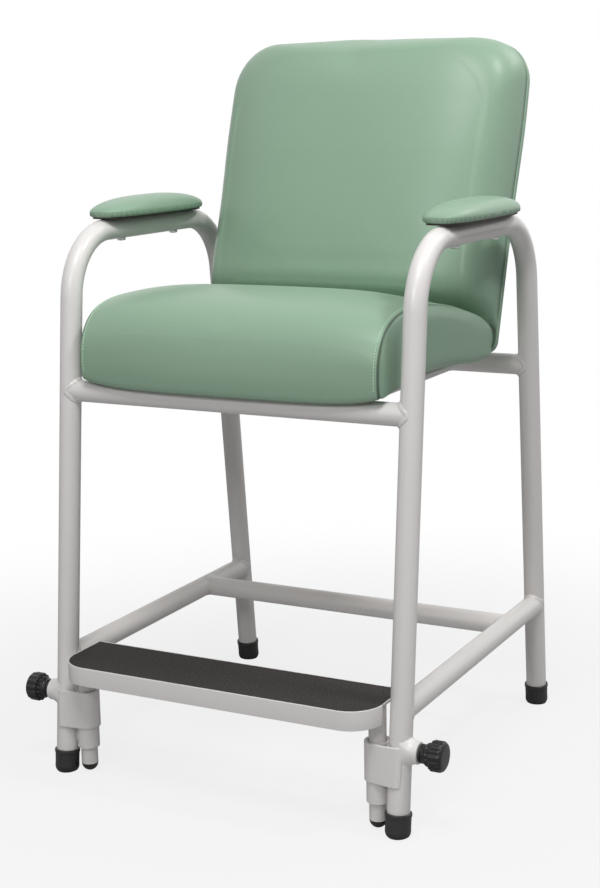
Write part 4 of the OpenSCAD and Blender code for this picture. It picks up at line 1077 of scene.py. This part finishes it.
def makeBoss(name, node, side):
    # the boss flares into the leg like a bell, so that no step shows at the weld
    low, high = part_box(node)
    outer = abs(high.x if side > 0 else low.x)
    radius, y, z = (high.z - low.z) / 2, middleOf(node).y, middleOf(node).z
    count, bore, legRadius = guide["bossSides"], guide["bossBore"], tube["radius"]
    angle = np.linspace(0, 2 * math.pi, count, endpoint=False)
    rings = []

    def ring(x, py, pz):
        rings.append(np.column_stack([np.broadcast_to(side * x, count), py, pz]))

    def circle(r, x):
        ring(x, y + r * np.cos(angle), z + r * np.sin(angle))

    for r, x in ((bore, halfWidth + legRadius + 0.001), (bore, outer - 0.0003), (bore + 0.0004, outer),
                 (radius - 0.0010, outer), (radius - 0.0003, outer - 0.0003), (radius, outer - 0.0011)):
        circle(r, x)
    start = outer - 0.0014
    for share in np.linspace(0, 1, 14):
        # share 1 lies on the leg, where the bell is widest
        r = radius + guide["bossFlare"] * share ** guide["flarePower"]
        pz = z + r * np.sin(angle)
        off = y + r * np.cos(angle) - legAt(pz)
        reach, end = legRadius * guide["wrap"], legRadius * guide["wrapEnd"]
        across = np.clip(off * math.cos(tube["lean"]), -reach, reach)
        onLeg = halfWidth + np.sqrt(legRadius ** 2 - across ** 2)
        held = np.clip(off, -end, end)
        x = start + (onLeg - guide["legSink"] - start) * share ** guide["bellPower"]
        ring(x, legAt(pz) + held * share + off * (1 - share), pz)
    ring(onLeg - 0.0024, rings[-1][:, 1], pz)
    circle(bore, halfWidth + legRadius - 0.002)
    finishPiece(meshObject(name, [loopSkin(np.stack(rings))], paint), "frame", [node])


def makeStrap(name, node, side):
    # a strap from the leg's front, round the sleeve and back to the leg's rear; at each height it
    # follows the two circles' common tangents, and both ends thin out on the leg
    low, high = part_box(node)
    sleeveNode = node.replace("_band", "")
    sx, sy = middleOf(sleeveNode).x * side, middleOf(sleeveNode).y
    edge = guide["strapEdge"]
    between = np.linspace(low.z + 0.002, high.z - 0.002, 9)
    heights = [low.z, low.z, low.z + edge, *between, high.z - edge, high.z, high.z]
    trims = [0.0004, 0.0003, *np.zeros(11), 0.0003, 0.0004]
    inner = (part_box(sleeveNode)[1].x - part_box(sleeveNode)[0].x) / 2 + guide["strapGap"]
    legInner = tube["radius"] + guide["legGap"]
    thin = [np.linspace(*places, count) for places, count in
            zip((guide["thinning"], guide["thinning"][::-1]), guide["endSteps"])]

    def arc(centre, radius, first, last, count):
        return arcPoints(centre, radius, np.linspace(first, last, count))

    rings = []
    for z, trim in zip(heights, trims):
        lx, ly = leg = halfWidth, legAt(z)
        line = []
        for offset in (guide["strapThickness"] - trim, trim):
            rs, rl = inner + offset, legInner + offset
            tilt = math.asin((rl - rs) / math.hypot(lx - sx, ly - sy))
            base = math.atan2(ly - sy, lx - sx)
            first, last = base - math.pi / 2 - tilt, base + math.pi / 2 + tilt
            radii = [legInner + (rl - legInner) * np.clip(places, 0, 1) for places in thin]
            line.append(np.concatenate([
                arc(leg, radii[0], first + guide["frontReach"], first, guide["endSteps"][0]),
                arc((sx, sy), rs, first, last - 2 * math.pi, guide["sleeveSteps"]),
                arc(leg, radii[1], last, last - guide["rearReach"], guide["endSteps"][1])]))
        loop = np.concatenate([line[0], line[1][::-1]])
        rings.append(levelRing(loop * (side, 1), z))
    # the lowest and the highest ring are closed by bridging the outer and the inner line
    rows, columns = len(rings), len(rings[0])
    points, quads, fans = gridSkin(np.stack(rings), poles=False)
    k = np.arange(columns // 2 - 1)
    bottom = np.stack([k, k + 1, columns - 2 - k, columns - 1 - k], -1)
    quads = np.concatenate([quads, bottom, bottom + (rows - 1) * columns])
    piece = meshObject(name, [(points, quads, fans)], paint)
    faceOutward(piece)
    finishPiece(piece, "frame", [node])


def makeWeb(name, node, side):
    # a flat bar welded between sleeve and leg, whose long edges follow both of them
    low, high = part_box(node)
    y = middleOf(node).y
    sleeveX = high.x if side > 0 else -low.x
    t, c = guide["webThickness"] / 2, guide["webChamfer"]
    rings = []
    for z in np.linspace(low.z + 0.002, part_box("footrest_pan")[0].z - guide["webTopGap"], 12):
        a = sleeveX - guide["webSink"][0 if z < high.z else 1]
        b, lean = halfWidth - tube["radius"] + guide["webBite"], legAt(z)
        corners = np.array([(a, y - t + c), (a + c, y - t), (b, lean - t), (b, lean + t), (a + c, y + t),
                            (a, y + t - c)])
        rings.append(levelRing(corners * (side, 1), z))
    finishPiece(meshObject(name, [gridSkin(np.stack(rings))], paint), "frame")


for word, side in (("left", -1), ("right", 1)):
    makeBoss(word + "Boss", word + "_knob_boss", side)
    makeStrap(word + "Strap", word + "_sleeve_band", side)
    makeWeb(word + "Web", word + "_sleeve", side)
print("bosses, straps and webs made")

# Rubber tips in line with the legs, cut flat on the floor

tips = {"height": 0.030, "radius": 0.0162, "lip": 0.0007, "waist": 0.0003, "sides": 72, "clearance": 0.0008}


def makeTip(name, node, side, end):
    low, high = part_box(node)
    foot = np.array([side * halfWidth, footY[end], 0])
    r, top, lip, legRadius = tips["radius"], tips["height"], tips["lip"], tube["radius"] + 0.0001
    profile = roundedOutline([
        (-0.003, 0.0005, 0), (-0.003, r - 0.0045, 0.002), (0.0035, r + 0.0001, 0.0042),
        (0.012, r - tips["waist"], 0.004), (top - 0.0052, r, 0.001), (top - 0.0046, r + lip, 0.0005),
        (top - 0.0006, r + lip, 0.0009), (top, r - 0.0004, 0.0005), (top - 0.0002, legRadius, 0.0002),
        (top - 0.006, legRadius, 0)], steps=5)
    points, quads, fans = lathe(profile, foot, legUp[end], tips["sides"])
    points[:, 2] = np.maximum(points[:, 2], 0)
    points[:, 1] = np.clip(points[:, 1], low.y - tips["clearance"], high.y + tips["clearance"])
    finishPiece(meshObject(name, [(points, quads, fans)], rubber), "frame", [node])


for end in ("front", "rear"):
    for word, side in (("left", -1), ("right", 1)):
        makeTip(end + word.capitalize() + "Tip", end + "_" + word + "_tip", side, end)
print("tips made")

# Floor, backdrop and light

studio = {
    "ambient": 0.19, "floorSize": 14.0, "floorTone": 0.5, "floorGlow": 0.82, "floorFade": (0.35, 1.3),
    "lampAim": 0.5, "lampDistance": 2.8,
    "lamps": [
        {"name": "keyBox", "from": (20, 58), "size": (1.0, 1.0), "watts": 39},
        {"name": "sideBox", "from": (90, 58), "size": (0.4, 0.45), "watts": 27},
        {"name": "frontStrip", "from": (3, 27), "size": (0.24, 0.55), "watts": 15},
        {"name": "rearFill", "from": (145, 40), "size": (1.2, 1.0), "watts": 14},
    ],
}


def makeFloor():
    # the floor takes the lamps' shadow near the chair and turns into plain white further out
    half = studio["floorSize"] / 2
    mesh = bpy.data.meshes.new("studioFloor")
    corners = [(-half, -half, 0), (half, -half, 0), (half, half, 0), (-half, half, 0)]
    mesh.from_pydata(corners, [], [(0, 1, 2, 3)])
    floor = bpy.data.objects.new("studioFloor", mesh)
    scene.collection.objects.link(floor)
    material = bpy.data.materials.new("studioFloor")
    material.use_nodes = True
    tree = material.node_tree
    tree.nodes.clear()
    start = Signal(tree)
    seen = start.add("LightPath", output="Is Camera Ray")
    lit = start.add("BsdfDiffuse", inputs={"Color": (studio["floorTone"],) * 3 + (1,)})
    glow = start.add("Emission", inputs={"Color": (1, 1, 1, 1), "Strength": 1.0})
    place = start.add("TexCoord", output="Object")
    reach = start.add("VectorMath", {"operation": "LENGTH"}, {0: place}, output=1)
    fade = start.add("MapRange", {"interpolation_type": "SMOOTHSTEP"}, {
        "Value": reach, "From Min": studio["floorFade"][0], "From Max": studio["floorFade"][1],
        "To Min": studio["floorGlow"], "To Max": 1.0})
    mixed = start.add("MixShader", inputs={0: seen * fade, 1: lit, 2: glow})
    start.add("OutputMaterial", inputs={"Surface": mixed})
    mesh.materials.append(material)


def makeWorld():
    world = bpy.data.worlds.new("studioWorld")
    scene.world = world
    world.use_nodes = True
    tree = world.node_tree
    tree.nodes.clear()
    start = Signal(tree)
    path = start.add("LightPath")
    seen = path.calculate("MAXIMUM", path.out("Is Camera Ray"), path.out("Is Glossy Ray"))
    seen = path.calculate("MAXIMUM", seen, path.out("Is Transmission Ray"))
    strength = seen * (1 - studio["ambient"]) + studio["ambient"]
    sky = start.add("Background", inputs={"Color": (1, 1, 1, 1), "Strength": strength})
    start.add("OutputWorld", inputs={"Surface": sky})


def makeLamp(lamp):
    away = sideways(*lamp["from"])
    light = bpy.data.lights.new(lamp["name"], "AREA")
    light.shape = "RECTANGLE"
    light.size, light.size_y = lamp["size"]
    light.energy = lamp["watts"]
    item = bpy.data.objects.new(lamp["name"], light)
    item.location = Vector((0, 0, studio["lampAim"])) + away * studio["lampDistance"]
    item.rotation_euler = away.to_track_quat("Z", "Y").to_euler()
    scene.collection.objects.link(item)


makeFloor()
makeWorld()
for lamp in studio["lamps"]:
    makeLamp(lamp)
scene.view_settings.view_transform = "Standard"
print("studio made")
